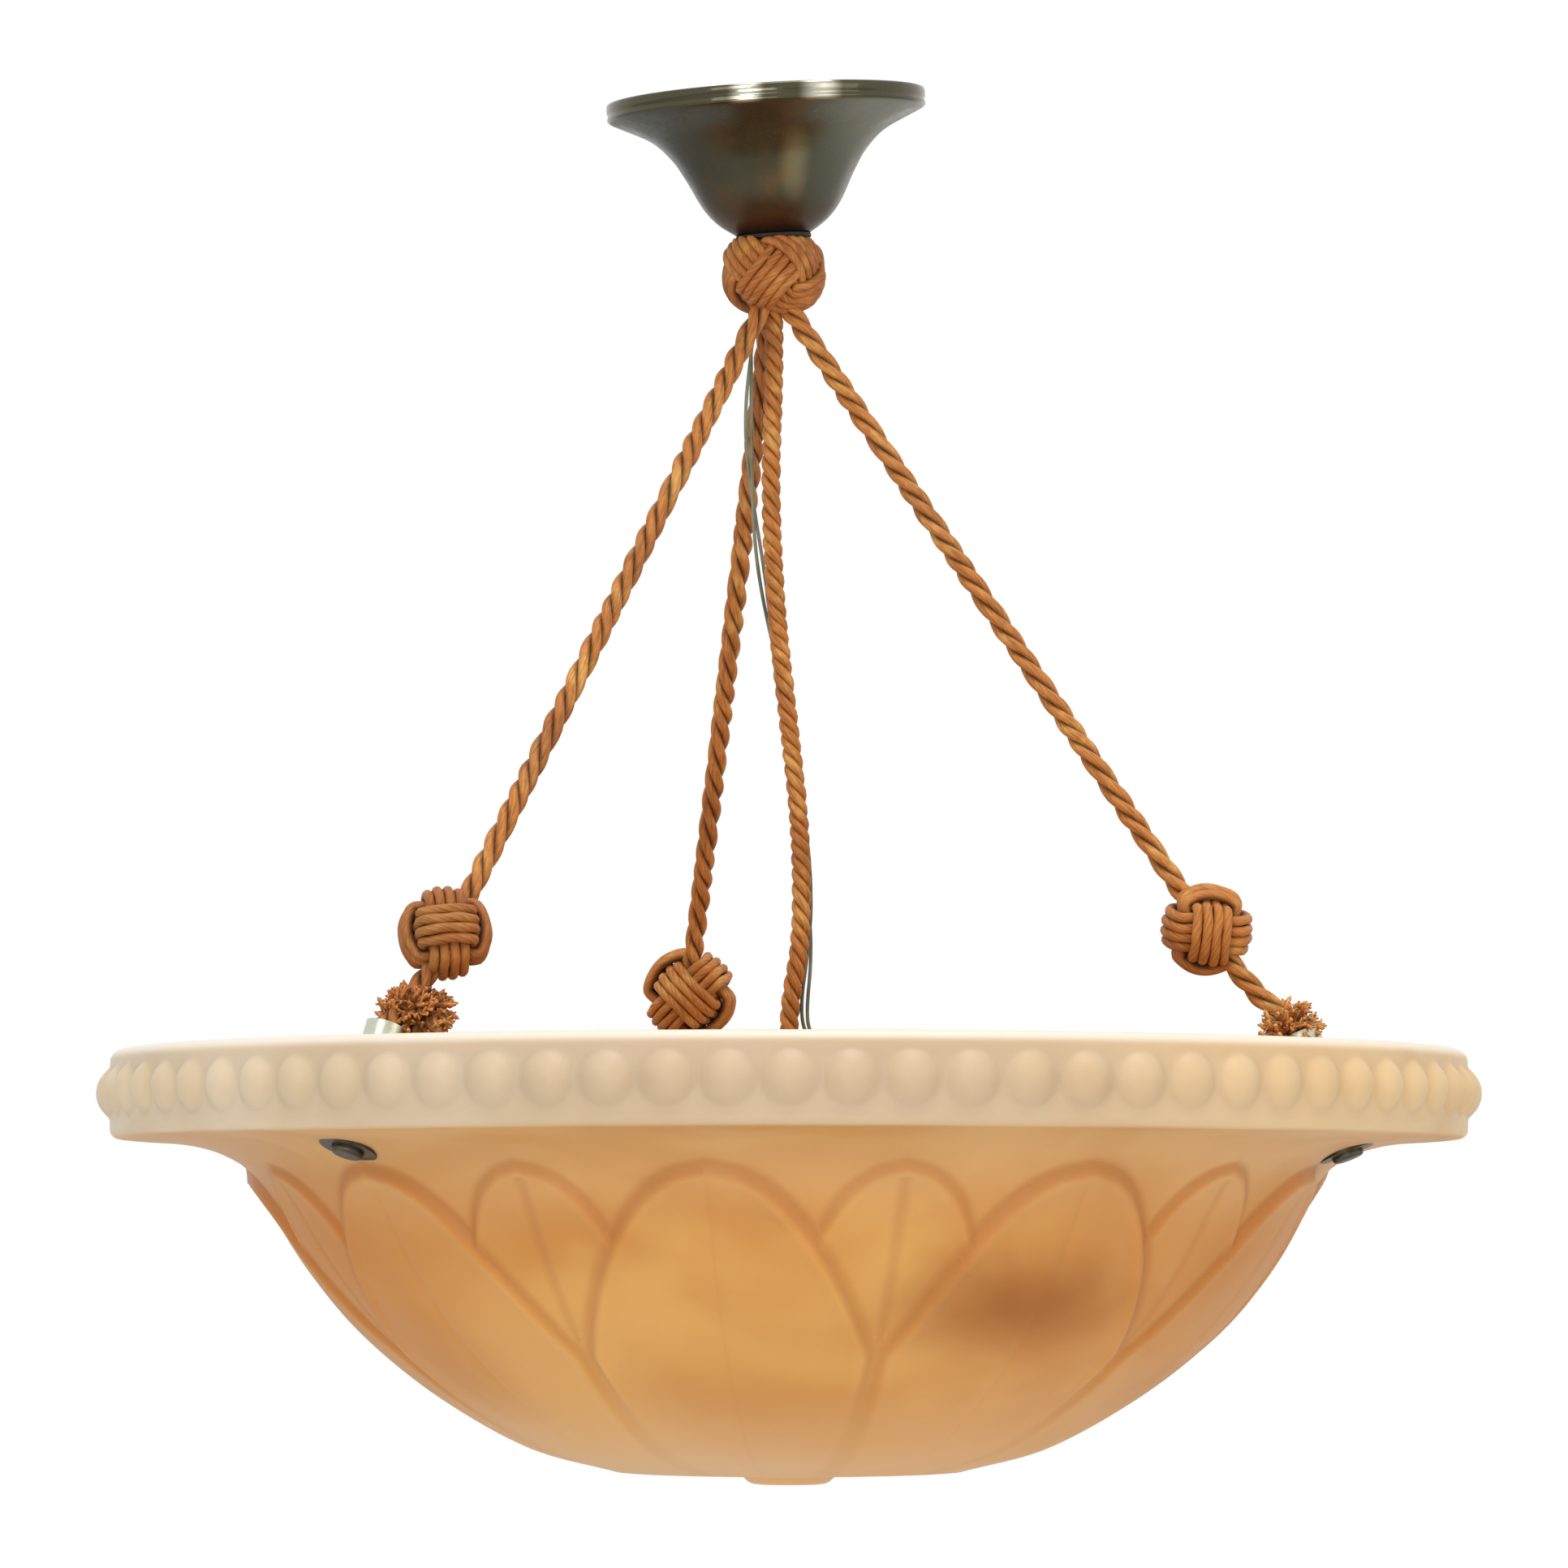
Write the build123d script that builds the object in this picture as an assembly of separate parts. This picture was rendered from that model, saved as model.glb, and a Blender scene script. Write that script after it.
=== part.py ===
from build123d import *
import math
import os

os.makedirs("parts", exist_ok=True)

# The frame: the origin is the centre of the hanging ring's bore, +Z is up and
# the photographed front faces -Y. All sizes are in millimetres.

# Hanging ring on the ceiling hook, and the loop that swings on its lowest bar
RING_BORE_R = 8.0
RING_WIRE_R = 2.2
RING_FLAT = 0.2
LOOP_WIRE_R = 1.75
LOOP_GAP = 0.3
ROD_R = 3.0
ROD_END_Z = -47.0
ROD_NUT_R = 4.8
ROD_NUT_H = 4.0

# Canopy: outer profile as (radius, height above the neck), spun from sheet
CANOPY_WALL = 1.0
CANOPY_CURVE = [(10.6, 0.0), (16.2, 4.0), (20.3, 9.0), (24.7, 17.4), (28.6, 23.6), (34.6, 29.4), (45.0, 34.6)]
CANOPY_LIP_R = 46.7
CANOPY_LIP_Z = 35.6
CANOPY_LIP_H = 4.8
CANOPY_LEAN_SIDE = 3.3
CANOPY_LEAN_FRONT = 4.4
NECK_Z = -30.3

# Canopy bush: slides on the rod, and the canopy turns on it
BUSH_R = 9.0
BUSH_FLANGE_R = 11.0
BUSH_FLANGE_T = 1.0
LOCK_RING_R = 10.5
LOCK_RING_T = 2.4
TURN_GAP = 0.05
TURN_PLAY = 0.1
ROD_PLAY = 0.25
FLEX_PLAY = 0.35

# Terminal block in the canopy
BLOCK_W = 16.0
BLOCK_T = 8.0
BLOCK_H = 9.0
BLOCK_Y = 11.4
BLOCK_BOTTOM_Z = 1.0
BLOCK_ENTRY_X = -3.5
BLOCK_ENTRY_DEPTH = 3.0
SCREW_R = 1.5
SCREW_DEPTH = 2.4
SCREW_PROUD = 0.4
SCREW_PITCH_X = 7.5
SCREW_PITCH_Z = 4.6

# Knots
TOP_KNOT_R = 16.8
TOP_KNOT_BOTTOM_Z = -55.8
TOP_KNOT_BOTTOM_R = 9.5
TOP_KNOT_TOP_R = 11.0
KNOT_SEAT_GAP = 0.3
KNOT_R = 13.6

# Ropes and flex
ROPE_R = 3.2
CENTRE_ROPE_R = 3.1
FLEX_R = 1.3
CORNER_SHARE = 0.45
ROPE_START_R = 7.6
ROPE_START_Z = -52.0
FLEX_RADIUS_IN_KNOT = 6.4
FLEX_SIDE = 253.0
FLEX_JOIN_Z = -44.0

# Bowl: its axis stands a little right of the hanging line
BOWL_X = 4.5
RIM_TOP_Z = -269.4
BAND_R = 196.0
BAND_H = 25.0
RIM_INNER_R = 183.0
BAND_FOOT_FILLET = 2.6
BAND_TOP_FILLET = 2.0
GLASS_WALL = 8.0
FLAT_R = 50.0
FLAT_DEPTH = 121.1
# Outer wall from the band to the flat bottom, as (radius, depth below the rim)
WALL_CURVE = [(180, 26.3), (171, 27.6), (163, 30.2), (156, 35.0), (149.5, 44.6),
              (138, 62.6), (121.5, 81.6), (100, 99.6), (75, 114.1)]
WALL_START_R = 189.0
WALL_START_DROP = 0.6
INNER_START_DEPTH = 9.0
BUTTON_R = 13.9
BUTTON_TIP_R = 9.4
BUTTON_H = 3.7

# Beads on the band
BEAD_COUNT = 76
BEAD_BALL_R = 8.2
BEAD_RISE = 4.0
BEAD_DEPTH = 12.3

# Petals, as (half width, depth below the rim), seen square to the wall
PETAL_COUNT = 9
PETAL_TURN = -8.3
FRONT_PETAL = [(11.5, 36.8), (22, 45.6), (31.5, 62.6), (36.8, 82.6), (33.0, 102.0)]
FRONT_PETAL_END = (21.0, 117.0)
BACK_PETAL = [(9.0, 36.8), (17.5, 45.6), (24.0, 62.6), (26.0, 82.6)]
BACK_PETAL_END = (16.0, 104.0)
PETAL_TIP_DEPTH = 33.4
FRONT_PETAL_RISE = 3.2
BACK_PETAL_RISE = 1.7
PETAL_FOOT_RISE = 0.7
PETAL_ROOT = 2.5
PETAL_REACH = 130.0

# Suspension points, as turns from the front towards the right, in degrees
SIDES = {"left": -47.0, "right": 73.0, "back": 193.0}

# Hanger bolt through the cove, square to the glass; lengths run inwards
BOLT_WALL_R = 164.8
BOLT_R = 3.0
BOLT_PLAY = 0.4
SEAT_R = 8.6
SEAT_DEPTH = 1.6
INNER_SEAT_DEPTH = 0.4
DISC_R = 8.2
DISC_T = 1.6
HEAD_R = 4.6
HEAD_H = 1.8
HEAD_FILLET = 1.2
OUTER_GASKET_T = 0.8
INNER_GASKET_T = 1.2
GASKET_R = 8.0
NUT_FLATS = 10.0
NUT_H = 5.0
SOCKET_GAP = 0.7
SOCKET_R = 5.6
SOCKET_SOLID = 8.0
SOCKET_LENGTH = 19.0
TUFT_OVERLAP = 3.0
TUFT_COLLAR = 0.8

# Rope ends below the top knot, as (radius from the bowl axis, height)
KNOT_CORNER = {"left": (128.5, -239.0), "right": (124.2, -235.5), "back": (136.0, -247.4)}
KNOT_CENTRE = {"left": (130.6, -239.2), "right": (124.6, -235.5), "back": (136.0, -247.4)}
TUFT_CORNER = {"left": [(139.5, -254.5)], "right": [(138.5, -254.0)], "back": []}
TUFT_TOP = {"left": (135.5, -254.0), "right": (144.6, -255.5), "back": (147.3, -262.6)}
TUFT_R = {"left": 10.5, "right": 8.8, "back": 8.4}
SOCKET_LEAD = 2.0

# Centre rope and flex, as points chosen along the photographed curve
CENTRE_ROPE_ROUTE = [(0.0, 0.0, -50.0), (0.4, 0.6, -68.0), (-1.1, 1.5, -104.0), (0.7, 2.3, -141.0),
                     (4.4, 1.8, -173.0), (8.7, 0.5, -206.0), (8.2, -0.6, -232.0)]
CENTRE_ROPE_LEAD = 9.0
FLEX_DROP = 16.0
FLEX_ROUTE = [(-7.7, 2.9, -84.0), (-6.0, 6.2, -111.0), (-2.2, 9.6, -138.0),
              (2.2, 10.4, -164.0), (7.6, 9.0, -190.0), (12.2, 6.0, -214.0), (12.9, 2.9, -236.0),
              (13.6, 0.9, -252.0)]

FLEX_LEAD = 12.0

# Bridge that carries the lampholder
BRIDGE_Z = -279.0
BAR_W = 13.0
BAR_T = 2.5
PAD_RUN = 11.5
BAR_RISE_R = 138.0
HUB_R = 17.0
NIPPLE_R = 5.0
NIPPLE_BORE_R = 3.4
THREAD_PLAY = 0.05
BORE_PLAY = 0.2

# Lampholder, from its hub downwards, and its cap upwards
CAP_R = 14.6
CAP_WALL = 1.2
CAP_H = 10.0
CAP_STRAIGHT = 2.6
CAP_TOP_R = 7.0
GRIP_R = 6.6
GRIP_H = 3.5
GRIP_SPIGOT_R = 5.2
GRIP_FLOOR = 0.6
GROMMET_OFFSET = 10.2
GROMMET_WALL = 0.9
GROMMET_TOP = 10.4
GROMMET_BOTTOM = 5.6
STRAIN_KNOT_R = 2.3
LEAD_R = 0.6
LEAD_SPREAD = 0.9
SHELL_R = 14.2
SHELL_WALL = 1.0
SHELL_LENGTH = 27.0
INSERT_LENGTH = 10.4
INSERT_SKIRT = 1.5
PART_GAP = 0.05
NIPPLE_REACH = 3.5
CONTACT_R = 3.2
CONTACT_T = 0.8
SLEEVE_WALL = 0.8
SLEEVE_LENGTH = 14.0
SLEEVE_FLANGE_R = 11.0

# Small round bulb with a 14 mm screw cap
BULB_LENGTH = 72.0
BULB_R = 22.5
BULB_CAP_R = 6.75
BULB_CAP_LENGTH = 14.0
BULB_GLASS_T = 0.9
BULB_TIP_R = 2.6
BULB_TIP_H = 1.4
BULB_INSULATOR_H = 2.2
CONTACT_GAP = 0.3
BULB_NECK_R = 6.2
STEM_R = 2.0
STEM_LENGTH = 22.0
FILAMENT_COUNT = 4
FILAMENT_R = 0.7
FILAMENT_LENGTH = 20.0
FILAMENT_CIRCLE_R = 5.0
FILAMENT_DISC_R = 6.2
FILAMENT_DISC_T = 0.6

BASE = (Align.CENTER, Align.CENTER, Align.MIN)
TOP = (Align.CENTER, Align.CENTER, Align.MAX)

LOOP_R = RING_WIRE_R + LOOP_GAP + LOOP_WIRE_R
RING_CENTRE_R = RING_BORE_R + RING_WIRE_R - RING_FLAT
RING_BAR_Z = -RING_CENTRE_R


def tube(outer_r, inner_r, height, z=0.0):
    """A plain tube on the Z axis with its lower end at z."""
    return Pos(0, 0, z) * (Cylinder(outer_r, height, align=BASE) - Cylinder(inner_r, height, align=BASE))


def turned(points):
    """A solid turned about Z from a closed outline of (radius, height) points."""
    outline = make_face(Polyline(*[(r, 0, z) for r, z in points], close=True))
    return revolve(outline, Axis.Z)


def save(node, shape):
    """Write one node's STEP file."""
    export_step(shape, "parts/" + node + ".step")


# Hanging ring, suspension loop and rod

def hanging_ring():
    wire_ring = Torus(RING_CENTRE_R, RING_WIRE_R)
    bore = Cylinder(RING_BORE_R, 4 * RING_WIRE_R)
    return Rot(90, 0, 0) * (wire_ring - bore)


def suspension_loop():
    eye = Pos(0, 0, RING_BAR_Z) * (Rot(0, 90, 0) * Torus(LOOP_R, LOOP_WIRE_R))
    rod_top = RING_BAR_Z - LOOP_R
    rod = Pos(0, 0, rod_top) * Cylinder(ROD_R, rod_top - ROD_END_Z, align=TOP)
    return eye + rod


def rod_nut():
    return tube(ROD_NUT_R, ROD_R, ROD_NUT_H, ROD_END_Z)


# Canopy, its bush and lock ring, all leaning together

def lean_frame():
    """The canopy's own frame: its origin at the neck, its axis leaning left and forwards."""
    return Pos(0, 0, NECK_Z) * Rot(CANOPY_LEAN_FRONT, 0, 0) * Rot(0, -CANOPY_LEAN_SIDE, 0)


def lean_angle():
    side = math.cos(math.radians(CANOPY_LEAN_SIDE))
    front = math.cos(math.radians(CANOPY_LEAN_FRONT))
    return math.acos(side * front)


def shifted(curve, u, amount):
    """The point beside the curve at u, moved square to it by the amount."""
    spot = curve @ u
    along = curve % u
    return Vector(spot.X - along.Z * amount, 0, spot.Z + along.X * amount)


def canopy():
    neck_r = BUSH_R + TURN_GAP
    outside = Spline(*[(r, 0, z) for r, z in CANOPY_CURVE], tangents=[(1, 0, 0.45), (1, 0, 0.22)])
    steps = 8
    inside_points = [shifted(outside, i / steps, CANOPY_WALL) for i in range(steps + 1)]
    inside_start = Vector(CANOPY_CURVE[0][0], 0, CANOPY_WALL)
    inside = Spline(inside_start, *inside_points[1:])
    lip_top = CANOPY_LIP_Z + CANOPY_LIP_H
    lip_inner = CANOPY_LIP_R - CANOPY_WALL
    lip = Polyline(
        outside @ 1,
        (CANOPY_LIP_R, 0, CANOPY_LIP_Z),
        (CANOPY_LIP_R, 0, lip_top),
        (lip_inner, 0, lip_top),
        (lip_inner, 0, (inside @ 1).Z + CANOPY_WALL / 2),
        inside @ 1,
    )
    neck = Polyline(inside @ 0, (neck_r, 0, CANOPY_WALL), (neck_r, 0, 0), outside @ 0)
    profile = make_face([*outside.edges(), *lip.edges(), *inside.edges(), *neck.edges()])
    return lean_frame() * revolve(profile, Axis.Z)


def flex_spot(radius):
    turn = math.radians(FLEX_SIDE)
    return Vector(radius * math.sin(turn), -radius * math.cos(turn), 0)


def canopy_bush():
    flange = Pos(0, 0, -TURN_PLAY) * Cylinder(BUSH_FLANGE_R, BUSH_FLANGE_T, align=TOP)
    body_height = CANOPY_WALL + 2 * TURN_PLAY + LOCK_RING_T
    body = Pos(0, 0, -TURN_PLAY) * Cylinder(BUSH_R, body_height, align=BASE)
    rod_bore = Pos(0, 0, NECK_Z) * Cylinder(ROD_R + ROD_PLAY, 8 * LOCK_RING_T)
    spot = flex_spot(FLEX_RADIUS_IN_KNOT)
    flex_bore = Pos(spot.X, spot.Y, NECK_Z) * Cylinder(FLEX_R + FLEX_PLAY, 8 * LOCK_RING_T)
    return lean_frame() * (flange + body) - rod_bore - flex_bore


def bush_lock_ring():
    return lean_frame() * tube(LOCK_RING_R, BUSH_R, LOCK_RING_T, CANOPY_WALL + TURN_PLAY)


# Terminal block and its screws

def screw_places():
    middle_z = BLOCK_BOTTOM_Z + BLOCK_H / 2
    back_y = BLOCK_Y + BLOCK_T / 2
    for x in (-SCREW_PITCH_X / 2, SCREW_PITCH_X / 2):
        for z in (-SCREW_PITCH_Z / 2, SCREW_PITCH_Z / 2):
            yield Pos(x, back_y, middle_z + z) * Rot(-90, 0, 0)


def terminal_block():
    block = Pos(0, BLOCK_Y, BLOCK_BOTTOM_Z) * Box(BLOCK_W, BLOCK_T, BLOCK_H, align=BASE)
    entry = Pos(BLOCK_ENTRY_X, BLOCK_Y, BLOCK_BOTTOM_Z) * Cylinder(FLEX_R, 2 * BLOCK_ENTRY_DEPTH)
    block -= entry
    for place in screw_places():
        block -= place * Cylinder(SCREW_R, 2 * SCREW_DEPTH)
    return block


def terminal_screws():
    slot = Box(3 * SCREW_R, SCREW_R / 2.5, 2 * SCREW_PROUD)
    length = SCREW_DEPTH + SCREW_PROUD
    screw = Cylinder(SCREW_R, length, align=TOP)
    screws = [place * Pos(0, 0, SCREW_PROUD) * (screw - slot) for place in screw_places()]
    return Compound(children=[shape for item in screws for shape in item.solids()])


# Ropes, flex and leads: straight runs joined by arcs as large as the runs allow

def corner_radii(points):
    radii = []
    for before, corner, after in zip(points, points[1:], points[2:]):
        run_in = corner - before
        run_out = after - corner
        half_turn = math.radians(run_in.get_angle(run_out)) / 2
        radii.append(CORNER_SHARE * min(run_in.length, run_out.length) / math.tan(half_turn))
    return radii


def cord(name, points, radius):
    points = [Vector(*p) for p in points]
    radii = corner_radii(points)
    path = FilletPolyline(*points, radius=radii)
    section = Plane(origin=points[0], z_dir=points[1] - points[0]) * Circle(radius)
    solid = sweep(section, path=path)
    expected = math.pi * radius ** 2 * path.length
    print(name, "length", round(path.length, 1), "volume share", round(solid.volume / expected, 4),
          "radii", [round(r, 1) for r in radii])
    return solid


def heading(side):
    turn = math.radians(SIDES[side])
    return Vector(math.sin(turn), -math.cos(turn), 0)


def bowl_spot(side, radius, z):
    return Vector(BOWL_X, 0, z) + heading(side) * radius


def flex_tail():
    spot = flex_spot(FLEX_RADIUS_IN_KNOT)
    block_end = BLOCK_BOTTOM_Z + BLOCK_ENTRY_DEPTH
    route = [
        (spot.X, spot.Y, FLEX_JOIN_Z),
        (spot.X, spot.Y, -12.5),
        (BLOCK_ENTRY_X, BLOCK_Y, -5.0),
        (BLOCK_ENTRY_X, BLOCK_Y, block_end),
    ]
    return cord("flex_tail", route, FLEX_R)


def holder_centre(z):
    return Vector(BOWL_X, 0, z)


HUB_TOP_Z = BRIDGE_Z + BAR_T / 2
HUB_BOTTOM_Z = BRIDGE_Z - BAR_T / 2
CAP_TOP_Z = HUB_TOP_Z + CAP_H


def lamp_flex():
    spot = flex_spot(FLEX_RADIUS_IN_KNOT)
    entry_x = BOWL_X + GROMMET_OFFSET
    ends_at = HUB_TOP_Z + GROMMET_BOTTOM
    start = [(spot.X, spot.Y, FLEX_JOIN_Z), (spot.X, spot.Y, FLEX_JOIN_Z - FLEX_DROP)]
    end = [(entry_x, 0, ends_at + FLEX_LEAD), (entry_x, 0, ends_at)]
    return cord("lamp_flex", start + FLEX_ROUTE + end, FLEX_R)


def centre_rope():
    end_z = CAP_TOP_Z + GRIP_FLOOR
    lead_z = CAP_TOP_Z + GRIP_H + CENTRE_ROPE_LEAD
    return cord("centre_rope", CENTRE_ROPE_ROUTE + [(BOWL_X, 0, lead_z), (BOWL_X, 0, end_z)], CENTRE_ROPE_R)


def side_rope(side):
    start = heading(side) * ROPE_START_R + Vector(0, 0, ROPE_START_Z)
    corners = [KNOT_CORNER[side]] + TUFT_CORNER[side]
    lead = bolt_axis_spot(SOCKET_TOP + SOCKET_LEAD)
    end = bolt_axis_spot(SOCKET_BASE + SOCKET_SOLID)
    corners += [(lead.X, lead.Z), (end.X, end.Z)]
    return cord("rope_" + side, [start] + [bowl_spot(side, r, z) for r, z in corners], ROPE_R)


# Knots

def top_knot(held):
    """A barrel on the rope ends, bored for the rod, its nut and the flex."""
    lean_drop = BUSH_FLANGE_R * math.tan(lean_angle())
    top_z = NECK_Z - TURN_PLAY - BUSH_FLANGE_T - KNOT_SEAT_GAP - lean_drop
    middle_z = (top_z + TOP_KNOT_BOTTOM_Z) / 2
    side = ThreePointArc(
        (TOP_KNOT_TOP_R, 0, top_z), (TOP_KNOT_R, 0, middle_z), (TOP_KNOT_BOTTOM_R, 0, TOP_KNOT_BOTTOM_Z)
    )
    core = Polyline(side @ 1, (0, 0, TOP_KNOT_BOTTOM_Z), (0, 0, top_z), side @ 0)
    ball = revolve(make_face([*side.edges(), *core.edges()]), Axis.Z)
    for inner in held:
        ball -= inner
    return ball


def rope_knot(side, rope):
    """A ball tied round the rope."""
    radius, z = KNOT_CENTRE[side]
    return Location(bowl_spot(side, radius, z)) * Rot(90, 0, 0) * Sphere(KNOT_R) - rope


# Glass bowl

def wall_line():
    """The outer wall from the band down to the flat bottom, in the bowl's own radial plane."""
    start = (WALL_START_R, 0, RIM_TOP_Z - BAND_H - WALL_START_DROP)
    end = (FLAT_R, 0, RIM_TOP_Z - FLAT_DEPTH)
    between = [(r, 0, RIM_TOP_Z - depth) for r, depth in WALL_CURVE]
    return Spline(start, *between, end, tangents=[(-1, 0, -0.05), (-1, 0, 0)])


WALL = wall_line()


def wall_place(value, measure):
    """The place along the wall where the measure has fallen to the value."""
    low, high = 0.0, 1.0
    for _ in range(50):
        middle = (low + high) / 2
        if measure(WALL @ middle) > value:
            low = middle
        else:
            high = middle
    return (low + high) / 2


BOLT_PLACE = wall_place(BOLT_WALL_R, lambda spot: spot.X)
BOLT_PLANE = Plane(origin=WALL @ BOLT_PLACE, x_dir=WALL % BOLT_PLACE,
                   z_dir=((WALL % BOLT_PLACE).Z, 0, -(WALL % BOLT_PLACE).X))

# Stack along the bolt, from the outer seat inwards
OUTER_DISC_FACE = SEAT_DEPTH - OUTER_GASKET_T - DISC_T
INNER_SEAT = GLASS_WALL - INNER_SEAT_DEPTH
PAD_BASE = INNER_SEAT + INNER_GASKET_T
NUT_BASE = PAD_BASE + BAR_T
SOCKET_BASE = NUT_BASE + NUT_H + SOCKET_GAP
SOCKET_TOP = SOCKET_BASE + SOCKET_LENGTH
BOLT_END = SOCKET_BASE + SOCKET_SOLID - SOCKET_GAP


def bolt_axis_spot(length):
    """A point on the bolt's axis, in the bowl's own radial plane."""
    return BOLT_PLANE.origin + BOLT_PLANE.z_dir * length


def at_side(side):
    """From the bowl's radial plane to this suspension point."""
    return Pos(BOWL_X, 0, 0) * Rot(0, 0, SIDES[side] - 90)


def at_bolt(side, length=0.0):
    return at_side(side) * BOLT_PLANE.location * Pos(0, 0, length)


def bowl_body():
    steps = 12
    first = wall_place(WALL_CURVE[1][0], lambda spot: spot.X)
    marks = [first + (1 - first) * i / steps for i in range(steps + 1)]
    floor_z = RIM_TOP_Z - FLAT_DEPTH + GLASS_WALL
    inner_points = [shifted(WALL, u, -GLASS_WALL) for u in marks[:-1]]
    inner_top = Vector(RIM_INNER_R, 0, RIM_TOP_Z - INNER_START_DEPTH)
    inner_end = Vector(FLAT_R, 0, floor_z)
    inner = Spline(inner_top, *inner_points, inner_end, tangents=[(0, 0, -1), (-1, 0, 0)])
    band = FilletPolyline(
        WALL @ 0,
        (BAND_R, 0, RIM_TOP_Z - BAND_H),
        (BAND_R, 0, RIM_TOP_Z),
        (RIM_INNER_R, 0, RIM_TOP_Z),
        inner_top,
        radius=[BAND_FOOT_FILLET, BAND_TOP_FILLET, BAND_TOP_FILLET],
    )
    base = Polyline(inner_end, (0, 0, floor_z), (0, 0, (WALL @ 1).Z), WALL @ 1)
    profile = make_face([*WALL.edges(), *band.edges(), *inner.edges(), *base.edges()])
    return revolve(profile, Axis.Z)


def petal(outline, end, rise):
    """One raised petal: the layer on the wall, cut by the petal's outline."""
    steps = 10
    first = wall_place(RIM_TOP_Z - PETAL_TIP_DEPTH + 2 * rise, lambda spot: spot.Z)
    last = wall_place(RIM_TOP_Z - end[1] - rise, lambda spot: spot.Z)
    marks = [first + (last - first) * i / steps for i in range(steps + 1)]
    over = [shifted(WALL, u, rise + (PETAL_FOOT_RISE - rise) * i / steps) for i, u in enumerate(marks)]
    under = [shifted(WALL, u, -PETAL_ROOT) for u in marks]
    face_line = Spline(*over)
    root_line = Spline(*under)
    ends = [Line(face_line @ 0, root_line @ 0), Line(face_line @ 1, root_line @ 1)]
    edges = [*face_line.edges(), *root_line.edges(), *ends[0].edges(), *ends[1].edges()]
    sector = 360 / PETAL_COUNT + 10
    layer = Rot(0, 0, -sector / 2) * revolve(make_face(edges), Axis.Z, revolution_arc=sector)
    tip = (0, RIM_TOP_Z - PETAL_TIP_DEPTH)
    right = [(w, RIM_TOP_Z - d) for w, d in outline + [end]]
    left = [(-w, z) for w, z in reversed(right)]
    edge_line = Spline(*left, tip, *right)
    square = Plane(origin=(WALL_START_R - PETAL_REACH, 0, 0), x_dir=(0, 1, 0), z_dir=(1, 0, 0))
    shape = make_face([*edge_line.edges(), *Line(edge_line @ 1, edge_line @ 0).edges()])
    return layer & extrude(square * shape, amount=PETAL_REACH)


def beads():
    bead = Sphere(BEAD_BALL_R)
    radius = BAND_R + BEAD_RISE - BEAD_BALL_R
    z = RIM_TOP_Z - BEAD_DEPTH
    return [Rot(0, 0, 360 * i / BEAD_COUNT) * Pos(radius, 0, z) * bead for i in range(BEAD_COUNT)]


def glass_bowl():
    step = 360 / PETAL_COUNT
    front = petal(FRONT_PETAL, FRONT_PETAL_END, FRONT_PETAL_RISE)
    behind = petal(BACK_PETAL, BACK_PETAL_END, BACK_PETAL_RISE)
    first_turn = PETAL_TURN - 90
    petals = [Rot(0, 0, first_turn + step * i) * front for i in range(PETAL_COUNT)]
    petals += [Rot(0, 0, first_turn + step * (i + 0.5)) * behind for i in range(PETAL_COUNT)]
    foot_z = RIM_TOP_Z - FLAT_DEPTH
    button = turned([
        (0, foot_z + GLASS_WALL / 2), (BUTTON_R, foot_z + GLASS_WALL / 2), (BUTTON_R, foot_z),
        (BUTTON_TIP_R, foot_z - BUTTON_H), (0, foot_z - BUTTON_H),
    ])
    bowl = bowl_body().fuse(*petals, *beads(), button)
    bowl = Pos(BOWL_X, 0, 0) * bowl
    for side in SIDES:
        bowl -= at_bolt(side) * Cylinder(BOLT_R + BOLT_PLAY, 4 * GLASS_WALL)
        bowl -= at_bolt(side, SEAT_DEPTH) * Cylinder(SEAT_R, 3 * SEAT_DEPTH, align=TOP)
        bowl -= at_bolt(side, INNER_SEAT) * Cylinder(SEAT_R, GLASS_WALL, align=BASE)
    return bowl


# Fittings at each suspension point

def hanger_bolt(side):
    shank = Pos(0, 0, OUTER_DISC_FACE) * Cylinder(BOLT_R, BOLT_END - OUTER_DISC_FACE, align=BASE)
    head = Cylinder(HEAD_R, HEAD_H, align=TOP)
    head = fillet(head.edges().sort_by(Axis.Z)[0], HEAD_FILLET)
    return at_bolt(side) * (shank + Pos(0, 0, OUTER_DISC_FACE) * head)


def each_side(shape, length):
    """The same piece at the three suspension points, as a group of separate solids."""
    placed = [at_bolt(side, length) * shape for side in SIDES]
    return Compound(children=[solid for item in placed for solid in item.solids()])


def hex_nut():
    nut = extrude(RegularPolygon(NUT_FLATS / 2, 6, major_radius=False), amount=NUT_H)
    return nut - Cylinder(BOLT_R, 3 * NUT_H)


def socket_body(side):
    return at_bolt(side, SOCKET_BASE) * Cylinder(SOCKET_R, SOCKET_LENGTH, align=BASE)


def rope_socket(side, rope):
    bolt_bore = Cylinder(BOLT_R, BOLT_END - SOCKET_BASE, align=BASE)
    return socket_body(side) - at_bolt(side, SOCKET_BASE) * bolt_bore - rope


def rope_tuft(side, rope):
    """A bushy rope end round the socket's mouth."""
    low = bolt_axis_spot(SOCKET_TOP - TUFT_OVERLAP)
    top_r, top_z = TUFT_TOP[side]
    along = Vector(top_r, 0, top_z) - low
    height = along.length
    widest = TUFT_R[side]
    outline = Spline(
        (SOCKET_R + TUFT_COLLAR, 0, 0), (widest, 0, 0.62 * height), (0, 0, height),
        tangents=[(0.3, 0, 1), (-1, 0, 0)],
    )
    core = Polyline(outline @ 1, (0, 0, 0), outline @ 0)
    bush = revolve(make_face([*outline.edges(), *core.edges()]), Axis.Z)
    standing = Plane(origin=low, x_dir=(0, 1, 0), z_dir=along)
    return at_side(side) * standing.location * bush - rope - socket_body(side)


# Bridge, lampholder and cord fittings

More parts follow.
